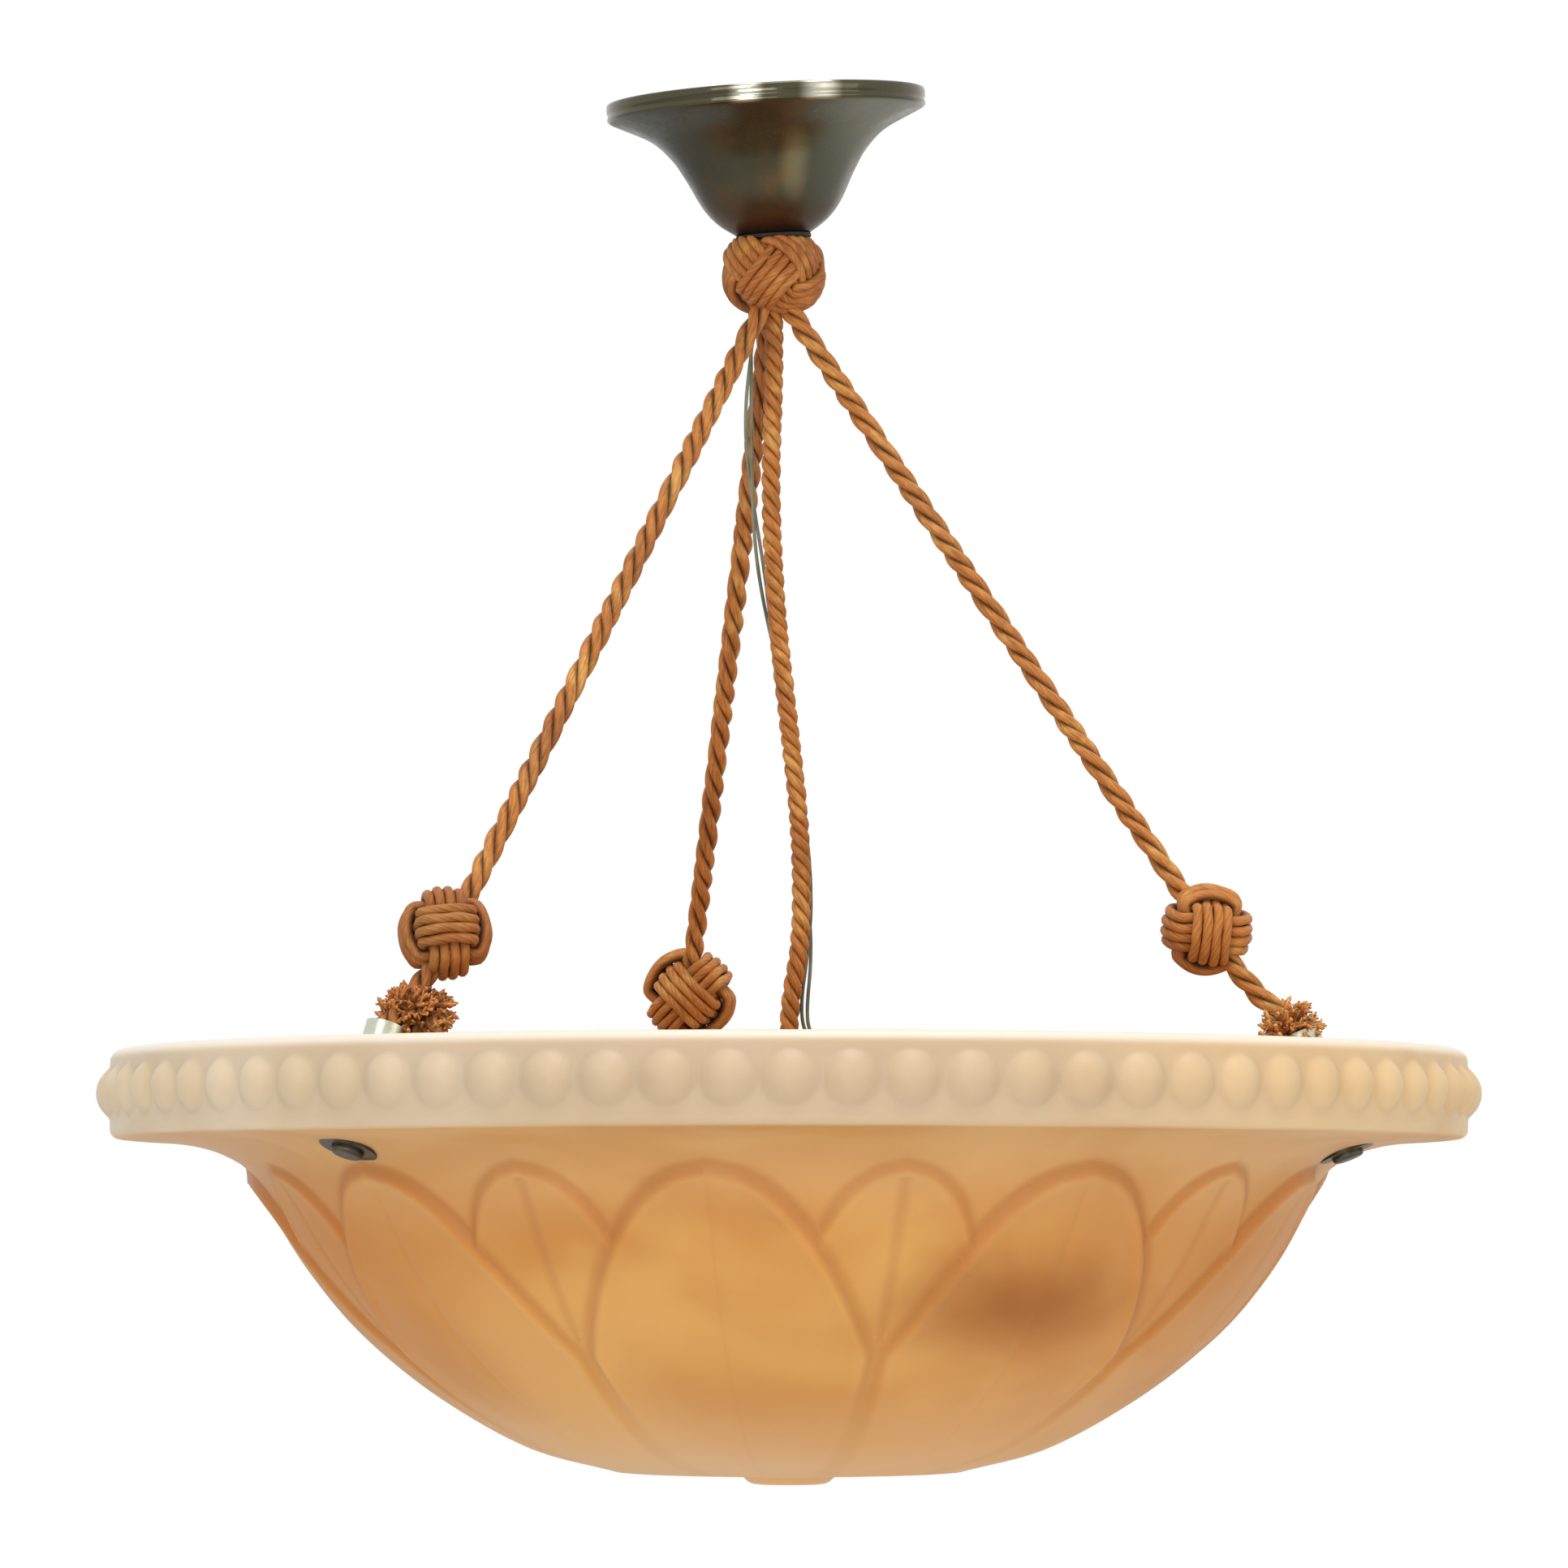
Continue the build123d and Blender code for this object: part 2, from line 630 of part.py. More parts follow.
def bridge():
    hub = Pos(0, 0, HUB_BOTTOM_Z) * Cylinder(HUB_R, BAR_T, align=BASE)
    pad_middle = bolt_axis_spot(PAD_BASE + BAR_T / 2)
    pad_end = pad_middle + BOLT_PLANE.x_dir * PAD_RUN
    points = [pad_middle, pad_end, Vector(BAR_RISE_R, 0, BRIDGE_Z), Vector(HUB_R / 2, 0, BRIDGE_Z)]
    line = FilletPolyline(*points, radius=corner_radii(points)[:2])
    section = Plane(origin=pad_middle, x_dir=(0, 1, 0), z_dir=BOLT_PLANE.x_dir) * Rectangle(BAR_W, BAR_T)
    bar = sweep(section, path=line)
    shape = Pos(BOWL_X, 0, 0) * hub
    for side in SIDES:
        shape += at_side(side) * bar
        shape += at_bolt(side, PAD_BASE) * Cylinder(BAR_W / 2, BAR_T, align=BASE)
    for side in SIDES:
        shape -= at_bolt(side, PAD_BASE - BAR_T) * Cylinder(BOLT_R + BORE_PLAY, 3 * BAR_T, align=BASE)
    bore = Pos(BOWL_X, 0, BRIDGE_Z) * Cylinder(NIPPLE_R + THREAD_PLAY, 3 * BAR_T)
    return shape - bore


def holder_cap():
    shoulder_r = (CAP_R + CAP_TOP_R) / 2 + 1.4
    shoulder_z = (CAP_STRAIGHT + CAP_H) / 2 + 1.6
    outside = ThreePointArc((CAP_R, 0, CAP_STRAIGHT), (shoulder_r, 0, shoulder_z), (CAP_TOP_R, 0, CAP_H))
    inside = ThreePointArc(
        (CAP_R - CAP_WALL, 0, CAP_STRAIGHT), (shoulder_r - 0.8 * CAP_WALL, 0, shoulder_z - 0.8 * CAP_WALL),
        (CAP_TOP_R, 0, CAP_H - CAP_WALL),
    )
    top = Polyline(outside @ 1, (GRIP_SPIGOT_R, 0, CAP_H), (GRIP_SPIGOT_R, 0, CAP_H - CAP_WALL), inside @ 1)
    foot = Polyline(outside @ 0, (CAP_R, 0, 0), (CAP_R - CAP_WALL, 0, 0), inside @ 0)
    dome = revolve(make_face([*outside.edges(), *inside.edges(), *top.edges(), *foot.edges()]), Axis.Z)
    hole = Pos(GROMMET_OFFSET, 0, 0) * Cylinder(FLEX_R + GROMMET_WALL, 3 * CAP_H, align=BASE)
    return Location(holder_centre(HUB_TOP_Z)) * (dome - hole)


def cord_grip():
    spigot = Cylinder(GRIP_SPIGOT_R, 2 * CAP_WALL, align=TOP)
    collar = Cylinder(GRIP_R, GRIP_H, align=BASE)
    bore = Pos(0, 0, GRIP_FLOOR) * Cylinder(CENTRE_ROPE_R, GRIP_H, align=BASE)
    return Location(holder_centre(CAP_TOP_Z)) * (spigot + collar - bore)


def flex_grommet():
    height = GROMMET_TOP - GROMMET_BOTTOM
    ring = tube(FLEX_R + GROMMET_WALL, FLEX_R, height, GROMMET_BOTTOM)
    return Location(holder_centre(HUB_TOP_Z)) * (Pos(GROMMET_OFFSET, 0, 0) * ring)


def strain_knot(leads):
    middle_z = GROMMET_BOTTOM - 0.8 * STRAIN_KNOT_R
    ball = Pos(GROMMET_OFFSET, 0, middle_z) * Sphere(STRAIN_KNOT_R)
    above = Pos(GROMMET_OFFSET, 0, GROMMET_BOTTOM) * Cylinder(2 * STRAIN_KNOT_R, STRAIN_KNOT_R, align=BASE)
    return Location(holder_centre(HUB_TOP_Z)) * (ball - above) - leads


def holder_leads():
    """Two insulated leads from the strain knot through the nipple to the insert."""
    start_z = GROMMET_BOTTOM - STRAIN_KNOT_R
    end_z = -BAR_T - PART_GAP - SHELL_WALL - NIPPLE_REACH + 0.5
    knot_side = GROMMET_OFFSET - STRAIN_KNOT_R
    leads = []
    for y in (-LEAD_SPREAD, LEAD_SPREAD):
        route = [(knot_side + 0.6, y, start_z), (3.6, y, start_z + 0.6), (0.9, y, -0.5), (0.9, y, end_z)]
        moved = [Vector(*p) + holder_centre(HUB_TOP_Z) for p in route]
        leads += cord("holder_lead", moved, LEAD_R).solids()
    return Compound(children=leads)


def holder_nipple():
    bottom = HUB_BOTTOM_Z - PART_GAP - SHELL_WALL - NIPPLE_REACH
    top = HUB_TOP_Z + CAP_WALL
    return Pos(BOWL_X, 0, 0) * tube(NIPPLE_R, NIPPLE_BORE_R, top - bottom, bottom)


def holder_shell():
    top = -PART_GAP
    points = [
        (NIPPLE_R + THREAD_PLAY, top), (SHELL_R, top), (SHELL_R, top - SHELL_LENGTH),
        (SHELL_R - SHELL_WALL, top - SHELL_LENGTH), (SHELL_R - SHELL_WALL, top - SHELL_WALL),
        (NIPPLE_R + THREAD_PLAY, top - SHELL_WALL),
    ]
    return Location(holder_centre(HUB_BOTTOM_Z)) * turned(points)


INSERT_TOP = -2 * PART_GAP - SHELL_WALL
INSERT_FLOOR = INSERT_TOP - INSERT_LENGTH


def holder_insert():
    outer_r = SHELL_R - SHELL_WALL - PART_GAP
    skirt_bottom = -PART_GAP - SHELL_LENGTH + SHELL_WALL
    pocket_floor = INSERT_TOP - NIPPLE_REACH
    points = [
        (NIPPLE_R + THREAD_PLAY, INSERT_TOP), (outer_r, INSERT_TOP), (outer_r, skirt_bottom),
        (outer_r - INSERT_SKIRT, skirt_bottom), (outer_r - INSERT_SKIRT, INSERT_FLOOR), (0, INSERT_FLOOR),
        (0, pocket_floor), (NIPPLE_R + THREAD_PLAY, pocket_floor),
    ]
    return Location(holder_centre(HUB_BOTTOM_Z)) * turned(points)


def centre_contact():
    disc = Pos(0, 0, INSERT_FLOOR) * Cylinder(CONTACT_R, CONTACT_T, align=TOP)
    return Location(holder_centre(HUB_BOTTOM_Z)) * disc


def screw_sleeve():
    inner_r = BULB_CAP_R + TURN_GAP
    flange = tube(SLEEVE_FLANGE_R, inner_r, CONTACT_T, INSERT_FLOOR - CONTACT_T)
    body = tube(inner_r + SLEEVE_WALL, inner_r, SLEEVE_LENGTH, INSERT_FLOOR - SLEEVE_LENGTH)
    return Location(holder_centre(HUB_BOTTOM_Z)) * (flange + body)


# Bulb, measured downwards from the top of its tip contact

BULB_TOP = INSERT_FLOOR - CONTACT_T - CONTACT_GAP
BULB_CAP_TOP = BULB_TOP - BULB_TIP_H - BULB_INSULATOR_H
BULB_CAP_BOTTOM = BULB_CAP_TOP - BULB_CAP_LENGTH
BULB_CENTRE = BULB_TOP - BULB_LENGTH + BULB_R


def bulb_tip_contact():
    tip = Pos(0, 0, BULB_TOP) * Cylinder(BULB_TIP_R, BULB_TIP_H, align=TOP)
    return Location(holder_centre(HUB_BOTTOM_Z)) * tip


def bulb_insulator():
    top = BULB_TOP - BULB_TIP_H - TURN_GAP
    cone = turned([
        (0, top), (BULB_TIP_R, top), (BULB_NECK_R, BULB_CAP_TOP), (BULB_NECK_R, BULB_CAP_TOP - 1),
        (0, BULB_CAP_TOP - 1),
    ])
    return Location(holder_centre(HUB_BOTTOM_Z)) * cone


def bulb_cap():
    ring = tube(BULB_CAP_R, BULB_NECK_R, BULB_CAP_LENGTH, BULB_CAP_BOTTOM)
    return Location(holder_centre(HUB_BOTTOM_Z)) * ring


def bulb_outline(inset):
    """The bulb's glass profile, moved inwards by the inset, as a solid of revolution."""
    neck_r = BULB_NECK_R - inset
    ball_r = BULB_R - inset
    meet = math.radians(45)
    meet_r = ball_r * math.sin(meet)
    meet_z = BULB_CENTRE + ball_r * math.cos(meet)
    top_z = BULB_CAP_TOP - 1 - inset
    waist = Spline((neck_r, 0, BULB_CAP_BOTTOM), (meet_r, 0, meet_z), tangents=[(0, 0, -1), (1, 0, -1)])
    ball = ThreePointArc((meet_r, 0, meet_z), (ball_r, 0, BULB_CENTRE), (0, 0, BULB_CENTRE - ball_r))
    rest = Polyline(ball @ 1, (0, 0, top_z), (neck_r, 0, top_z), waist @ 0)
    return revolve(make_face([*waist.edges(), *ball.edges(), *rest.edges()]), Axis.Z)


def bulb_glass():
    shape = bulb_outline(0.0) - bulb_outline(BULB_GLASS_T)
    return Location(holder_centre(HUB_BOTTOM_Z)) * shape


def bulb_stem():
    """Glass stem with upright filaments between two small carrier discs."""
    top_z = BULB_CAP_TOP - 1 - BULB_GLASS_T
    disc_z = BULB_CENTRE + FILAMENT_LENGTH / 2
    stem = Pos(0, 0, top_z) * Cylinder(STEM_R, top_z - disc_z + FILAMENT_LENGTH, align=TOP)
    disc = Cylinder(FILAMENT_DISC_R, FILAMENT_DISC_T)
    shape = stem + Pos(0, 0, disc_z) * disc + Pos(0, 0, disc_z - FILAMENT_LENGTH) * disc
    for i in range(FILAMENT_COUNT):
        spot = Rot(0, 0, 360 * i / FILAMENT_COUNT) * Pos(FILAMENT_CIRCLE_R, 0, disc_z)
        shape += spot * Cylinder(FILAMENT_R, FILAMENT_LENGTH, align=TOP)
    return Location(holder_centre(HUB_BOTTOM_Z)) * shape


# Build and write every node

def build():
    save("hanging_ring", hanging_ring())
    loop = suspension_loop()
    save("suspension_loop", loop)
    nut = rod_nut()
    save("rod_nut", nut)
    save("canopy", canopy())
    save("canopy_bush", canopy_bush())
    save("bush_lock_ring", bush_lock_ring())
    save("terminal_block", terminal_block())
    save("terminal_screws", terminal_screws())

    tail = flex_tail()
    save("flex_tail", tail)
    flex = lamp_flex()
    save("lamp_flex", flex)
    middle_rope = centre_rope()
    save("centre_rope", middle_rope)
    held_in_knot = [loop, nut, tail, flex, middle_rope]
    for side in SIDES:
        rope = side_rope(side)
        held_in_knot.append(rope)
        save("rope_" + side, rope)
        save("knot_" + side, rope_knot(side, rope))
        save("rope_socket_" + side, rope_socket(side, rope))
        save("rope_tuft_" + side, rope_tuft(side, rope))
        save("hanger_bolt_" + side, hanger_bolt(side))
    save("top_knot", top_knot(held_in_knot))

    save("glass_bowl", glass_bowl())
    save("outer_discs", each_side(tube(DISC_R, BOLT_R, DISC_T), OUTER_DISC_FACE))
    save("outer_gaskets", each_side(tube(GASKET_R, BOLT_R, OUTER_GASKET_T), SEAT_DEPTH - OUTER_GASKET_T))
    save("inner_gaskets", each_side(tube(GASKET_R, BOLT_R, INNER_GASKET_T), INNER_SEAT))
    save("clamp_nuts", each_side(hex_nut(), NUT_BASE))

    save("bridge", bridge())
    save("holder_cap", holder_cap())
    save("cord_grip", cord_grip())
    save("flex_grommet", flex_grommet())
    leads = holder_leads()
    save("holder_leads", leads)
    save("strain_knot", strain_knot(leads))
    save("holder_nipple", holder_nipple())
    save("holder_shell", holder_shell())
    save("holder_insert", holder_insert())
    save("centre_contact", centre_contact())
    save("screw_sleeve", screw_sleeve())
    save("bulb_tip_contact", bulb_tip_contact())
    save("bulb_insulator", bulb_insulator())
    save("bulb_cap", bulb_cap())
    save("bulb_glass", bulb_glass())
    save("bulb_stem", bulb_stem())


build()
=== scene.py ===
import math

import bmesh
import bpy
import numpy as np
from mathutils import Matrix, Vector


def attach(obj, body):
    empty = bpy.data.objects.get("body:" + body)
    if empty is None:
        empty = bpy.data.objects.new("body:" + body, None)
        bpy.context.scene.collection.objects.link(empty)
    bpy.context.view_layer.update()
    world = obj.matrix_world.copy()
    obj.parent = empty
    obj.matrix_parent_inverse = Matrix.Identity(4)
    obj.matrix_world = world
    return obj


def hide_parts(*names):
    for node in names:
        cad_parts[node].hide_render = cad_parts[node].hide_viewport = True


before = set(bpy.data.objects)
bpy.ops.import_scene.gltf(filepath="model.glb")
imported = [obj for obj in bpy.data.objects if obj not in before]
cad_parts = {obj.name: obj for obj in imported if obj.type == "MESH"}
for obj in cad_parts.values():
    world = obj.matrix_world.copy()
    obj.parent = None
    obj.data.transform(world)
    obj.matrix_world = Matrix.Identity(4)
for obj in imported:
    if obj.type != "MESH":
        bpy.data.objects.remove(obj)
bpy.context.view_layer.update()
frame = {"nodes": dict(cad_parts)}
nodes = frame["nodes"]
scene = bpy.context.scene

# Studio: the pendant hangs in front of a white backdrop over a pale floor, lit by
# large soft lamps. The camera stands two metres off, level with the bowl's wall
# and tipped up a little.
camera = bpy.data.objects.new("camera", bpy.data.cameras.new("camera"))
camera.data.sensor_width = 36.0
camera.data.lens = 158.2
camera.data.clip_end = 60.0
camera.location = (0.00309, -2.0, -0.332)
camera.rotation_euler = (math.radians(94.022), 0, 0)
scene.collection.objects.link(camera)
scene.camera = camera
scene.view_settings.view_transform = "Standard"


def put(tree, kind, inputs=None, **settings):
    """A new node; an input given as a socket is linked, and any other is set."""
    made = tree.nodes.new(kind)
    for key, value in settings.items():
        setattr(made, key, value)
    for key, value in (inputs or {}).items():
        if isinstance(value, bpy.types.NodeSocket):
            tree.links.new(value, made.inputs[key])
        else:
            made.inputs[key].default_value = value
    return made


def srgb(red, green, blue):
    """A colour as seen on a screen, 0 to 255, as the linear colour a shader takes."""
    parts = [c / 255 for c in (red, green, blue)]
    return tuple(c / 12.92 if c <= 0.04045 else ((c + 0.055) / 1.055) ** 2.4 for c in parts) + (1.0,)


def math_node(tree, operation, first, second=0.0, clamp=False):
    return put(tree, "ShaderNodeMath", {0: first, 1: second}, operation=operation, use_clamp=clamp).outputs[0]


def times(tree, first, second, **more):
    return math_node(tree, "MULTIPLY", first, second, **more)


def new_finish(name):
    """A material, its node tree and its shader."""
    made = bpy.data.materials.new(name)
    made.use_nodes = True
    return made, made.node_tree, made.node_tree.nodes["Principled BSDF"]


def set_values(shader, values):
    for key, value in values.items():
        shader.inputs[key].default_value = value


scene.world = bpy.data.worlds.new("backdrop")
scene.world.use_nodes = True
sky = scene.world.node_tree
ray = put(sky, "ShaderNodeLightPath")
seen = math_node(sky, "ADD", ray.outputs["Is Camera Ray"], ray.outputs["Is Glossy Ray"])
seen = math_node(sky, "ADD", seen, ray.outputs["Is Transmission Ray"], clamp=True)
AMBIENT = 0.6
WHITE = (1, 1, 1, 1)
level = put(sky, "ShaderNodeMapRange", {"Value": seen, "To Min": AMBIENT, "To Max": 1.0})
sky.links.new(level.outputs[0], sky.nodes["Background"].inputs["Strength"])
set_values(sky.nodes["Background"], {"Color": WHITE})


def soft_lamp(name, place, target, size, power):
    lamp = bpy.data.objects.new(name, bpy.data.lights.new(name, "AREA"))
    lamp.data.size = size
    lamp.data.energy = power
    lamp.location = place
    lamp.rotation_euler = (Vector(target) - Vector(place)).to_track_quat("-Z", "Y").to_euler()
    scene.collection.objects.link(lamp)


soft_lamp("key_lamp", (-1.1, -2.4, 0.9), (0, 0, -0.25), 1.5, 15)
soft_lamp("fill_lamp", (2.2, -1.6, -0.1), (0, 0, -0.25), 1.6, 9)
soft_lamp("low_lamp", (-0.2, -2.2, -0.9), (0, 0, -0.3), 1.1, 17)
soft_lamp("top_lamp", (0.2, -0.5, 1.9), (0, 0, -0.25), 1.4, 24)

FLOOR_Z = -0.95
floor_mesh = bpy.data.meshes.new("studio_floor")
floor_mesh.from_pydata([(x, y, FLOOR_Z) for x, y in ((-4, -4), (4, -4), (4, 4), (-4, 4))], [], [(0, 1, 2, 3)])
studio_floor = bpy.data.objects.new("studio_floor", floor_mesh)
scene.collection.objects.link(studio_floor)
floor_paint, _, floor_shader = new_finish("floor_paint")
set_values(floor_shader, {"Base Color": srgb(236, 236, 234), "Roughness": 0.9})
studio_floor.data.materials.append(floor_paint)


# Suspension ropes: three ropes of three loosely laid thongs run from inside the
# top knot, each through its own small knot, and end in a metal socket on the
# bowl's hanger bolt. A slack fourth rope runs down to the lampholder's cord grip.
def group_tree(name, inputs, outputs):
    """A shader group with its sockets, and its two ends; a tuple makes a colour socket."""
    tree = bpy.data.node_groups.new(name, "ShaderNodeTree")
    for socket_name, value in inputs.items():
        kind = "NodeSocketColor" if isinstance(value, tuple) else "NodeSocketFloat"
        tree.interface.new_socket(name=socket_name, in_out="INPUT", socket_type=kind).default_value = value
    for socket_name in outputs:
        kind = "NodeSocketColor" if socket_name == "Color" else "NodeSocketFloat"
        tree.interface.new_socket(name=socket_name, in_out="OUTPUT", socket_type=kind)
    return tree, tree.nodes.new("NodeGroupInput").outputs, tree.nodes.new("NodeGroupOutput").inputs


def blend_colour(tree, share, first, second, mode="MIX"):
    return put(tree, "ShaderNodeMix", {0: share, 6: first, 7: second},
               data_type="RGBA", blend_type=mode, clamp_factor=True).outputs[2]


def darkened(tree, share, colour, tone):
    """A colour multiplied by a grey tone, by so large a share."""
    grey = put(tree, "ShaderNodeCombineColor", {0: tone, 1: tone, 2: tone}).outputs[0]
    return blend_colour(tree, share, colour, grey, "MULTIPLY")


def remap(tree, value, low, high, to_low=0.0, to_high=1.0, smooth=True):
    return put(tree, "ShaderNodeMapRange",
               {"Value": value, "From Min": low, "From Max": high, "To Min": to_low, "To Max": to_high},
               interpolation_type="SMOOTHSTEP" if smooth else "LINEAR").outputs[0]


def object_place(tree):
    return put(tree, "ShaderNodeTexCoord").outputs["Object"]


def separated(tree, vector):
    return put(tree, "ShaderNodeSeparateXYZ", {0: vector}).outputs


def noise(tree, scale, detail, **more):
    """Soft noise through the object's own space."""
    return put(tree, "ShaderNodeTexNoise",
               {"Vector": object_place(tree), "Scale": scale, "Detail": detail, **more}).outputs[0]


def build_fibre_group():
    """Fibres that wind along a laid strand, with patchy dye and painted shade in the grooves between strands;
    reads the strand's own map.
    """
    tree, given, result = group_tree(
        "strand_fibres_and_groove_shade", {"Dye": WHITE, "Pale": WHITE, "Deep": (0, 0, 0, 1), "Slant": 1.0, "Fineness": 16.0},
        ["Color", "Height", "Roughness"])
    strand_map = put(tree, "ShaderNodeUVMap", uv_map="strand")
    parts = separated(tree, strand_map.outputs[0])
    slanted = times(tree, parts["Y"], given["Slant"])
    across = math_node(tree, "ADD", parts["X"], slanted)
    across = times(tree, across, given["Fineness"])
    along = times(tree, parts["Y"], 1.3)
    spot = put(tree, "ShaderNodeCombineXYZ", {"X": across, "Y": along})
    fibre = put(tree, "ShaderNodeTexNoise",
                {"Vector": spot.outputs[0], "Scale": 1.0, "Detail": 3.0, "Roughness": 0.55}).outputs[0]
    pale_share = remap(tree, noise(tree, 95.0, 3.0, Roughness=0.6), 0.48, 0.70, 0.0, 0.65)
    deep_share = remap(tree, noise(tree, 26.0, 1.0), 0.46, 0.72, 0.0, 0.6)
    colour = blend_colour(tree, pale_share, given["Dye"], given["Pale"])
    colour = blend_colour(tree, deep_share, colour, given["Deep"])
    line = remap(tree, fibre, 0.34, 0.58, 0.66, 1.1)
    colour = darkened(tree, 1.0, colour, line)
    # The seam of the map faces the strand's hidden side, so the outer side is about 0.5
    side = math_node(tree, "ABSOLUTE", math_node(tree, "SUBTRACT", parts["X"], 0.5))
    # Painted shade: each strand darkens towards its hidden side, in the grooves between strands
    groove_shade = remap(tree, side, 0.13, 0.33, 1.0, 0.25)
    colour = darkened(tree, 0.85, colour, groove_shade)
    dull = remap(tree, fibre, 0.3, 0.7, 0.7, 0.46)
    for key, value in (("Color", colour), ("Roughness", dull), ("Height", fibre)):
        tree.links.new(value, result[key])
    return tree


fibre_group = build_fibre_group()


def join_finish(tree, shader, colour, roughness, height, depth):
    """Colour, roughness and a fine relief of the given depth, joined to the shader."""
    tree.links.new(colour, shader.inputs["Base Color"])
    tree.links.new(roughness, shader.inputs["Roughness"])
    bump = put(tree, "ShaderNodeBump", {"Height": height, "Strength": 1.0, "Distance": depth})
    tree.links.new(bump.outputs[0], shader.inputs["Normal"])


def laid_finish(name, dye, pale, deep, fineness):
    made, tree, shader = new_finish(name)
    fibres = put(tree, "ShaderNodeGroup", {"Dye": dye, "Pale": pale, "Deep": deep, "Slant": FIBRE_SLANT,
                                           "Fineness": fineness}, node_tree=fibre_group).outputs
    join_finish(tree, shader, fibres["Color"], fibres["Roughness"], fibres["Height"], FIBRE_RELIEF)
    set_values(shader, {"Specular IOR Level": 0.36, "Sheen Weight": 0.05, "Sheen Roughness": 0.5})
    return made


FIBRE_SLANT = -0.55
FIBRE_RELIEF = 0.00035
rope_finish = laid_finish("orange_brown_rope", srgb(190, 118, 50), srgb(226, 170, 90), srgb(142, 80, 30), 15.0)
# A darker copy of the rope's finish for the top knot, as painted shade under the canopy
shaded_knot_finish = laid_finish("rope_with_painted_shade", srgb(176, 104, 42), srgb(212, 150, 72), srgb(120, 62, 22), 15.0)
ROUTE_STEP = 0.0012


def run_along(line):
    """The distance along a line at each of its points."""
    return np.concatenate([[0], np.cumsum(np.linalg.norm(np.diff(line, axis=0), axis=1))])


def respaced(line, n):
    """The same line as n points evenly spaced along it."""
    run = run_along(line)
    at = np.linspace(0, run[-1], n)
    return np.stack([np.interp(at, run, column) for column in line.T], axis=1)


def read_route(points):
    """Evenly spaced points along a smooth NURBS line that has the route's points as control points."""
    curve = bpy.data.curves.new("route", "CURVE")
    curve.dimensions = "3D"
    curve.resolution_u = 24
    spline = curve.splines.new("NURBS")
    spline.points.add(len(points) - 1)
    for control, point in zip(spline.points, points):
        control.co = (*point, 1.0)
    spline.order_u = 3
    spline.use_endpoint_u = True
    mesh = bpy.data.meshes.new_from_object(bpy.data.objects.new("route", curve))
    line = np.array([v.co for v in mesh.vertices], float)
    bpy.data.meshes.remove(mesh)
    bpy.data.curves.remove(curve)
    length = run_along(line)[-1]
    return respaced(line, max(24, int(length / ROUTE_STEP))), length


def unit(vectors):
    return vectors / np.maximum(np.linalg.norm(vectors, axis=-1, keepdims=True), 1e-12)


def carried_frame(line):
    """Two directions square to the line, carried along it without twist."""
    along = unit(np.gradient(line, axis=0))
    side = np.zeros_like(line)
    start = np.array([1.0, 0, 0]) if abs(along[0][0]) < 0.8 else np.array([0, 1.0, 0])
    side[0] = unit(start - along[0] * (start @ along[0]))
    for i in range(1, len(line)):
        side[i] = unit(side[i - 1] - along[i] * (side[i - 1] @ along[i]))
    return side, np.cross(along, side)


def linked(name, mesh):
    piece = bpy.data.objects.new(name, mesh)
    scene.collection.objects.link(piece)
    return piece


def settle(piece, node, body="lamp"):
    """The solid that the piece stands for, and the body it moves with."""
    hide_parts(node)
    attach(piece, body)


class Strands:
    """Round strands gathered into one mesh, each with a map that runs along it."""

    def __init__(self, sides=14):
        self.sides, self.points, self.faces, self.uv, self.count = sides, [], [], [], 0

    def add(self, line, hidden_side, radius, closed=False):
        """hidden_side points to where the seam of the map goes."""
        line = np.asarray(line, float)
        n, m, base = len(line), self.sides, self.count
        along = unit(np.roll(line, -1, 0) - np.roll(line, 1, 0) if closed else np.gradient(line, axis=0))
        first = unit(hidden_side - along * (hidden_side * along).sum(1, keepdims=True))
        turn = 2 * math.pi * np.arange(m)[:, None] / m
        radius = np.broadcast_to(np.asarray(radius, float), (n,))[:, None, None]
        second = np.cross(along, first)
        rings = line[:, None] + radius * (np.cos(turn) * first[:, None] + np.sin(turn) * second[:, None])
        run = run_along(np.vstack([line, line[:1]])) / (2 * math.pi * float(radius.mean()))
        self.points.append(rings.reshape(-1, 3))
        self.count += n * m
        for i in range(n if closed else n - 1):
            here, ahead = base + i * m, base + (i + 1) % n * m
            for j in range(m):
                k, u, w = (j + 1) % m, j / m, (j + 1) / m
                self.faces.append((here + j, here + k, ahead + k, ahead + j))
                self.uv += [(u, run[i]), (w, run[i]), (w, run[i + 1]), (u, run[i + 1])]
        if not closed:
            last = base + (n - 1) * m
            self.faces += [tuple(range(base + m - 1, base - 1, -1)), tuple(range(last, last + m))]
            self.uv += [(0.5, run[0])] * m + [(0.5, run[n - 1])] * m

    def piece(self, name, material):
        mesh = bpy.data.meshes.new(name)
        mesh.from_pydata(np.vstack(self.points).tolist(), [], self.faces)
        layer = mesh.uv_layers.new(name="strand")
        layer.data.foreach_set("uv", np.asarray(self.uv, np.float32).ravel())
        mesh.polygons.foreach_set("use_smooth", [True] * len(mesh.polygons))
        mesh.materials.append(material)
        mesh.update()
        return linked(name, mesh)


def turning_out(frame, turn):
    """The direction square to a line that is turned by so much in its carried frame."""
    return np.cos(turn)[:, None] * frame[0] + np.sin(turn)[:, None] * frame[1]


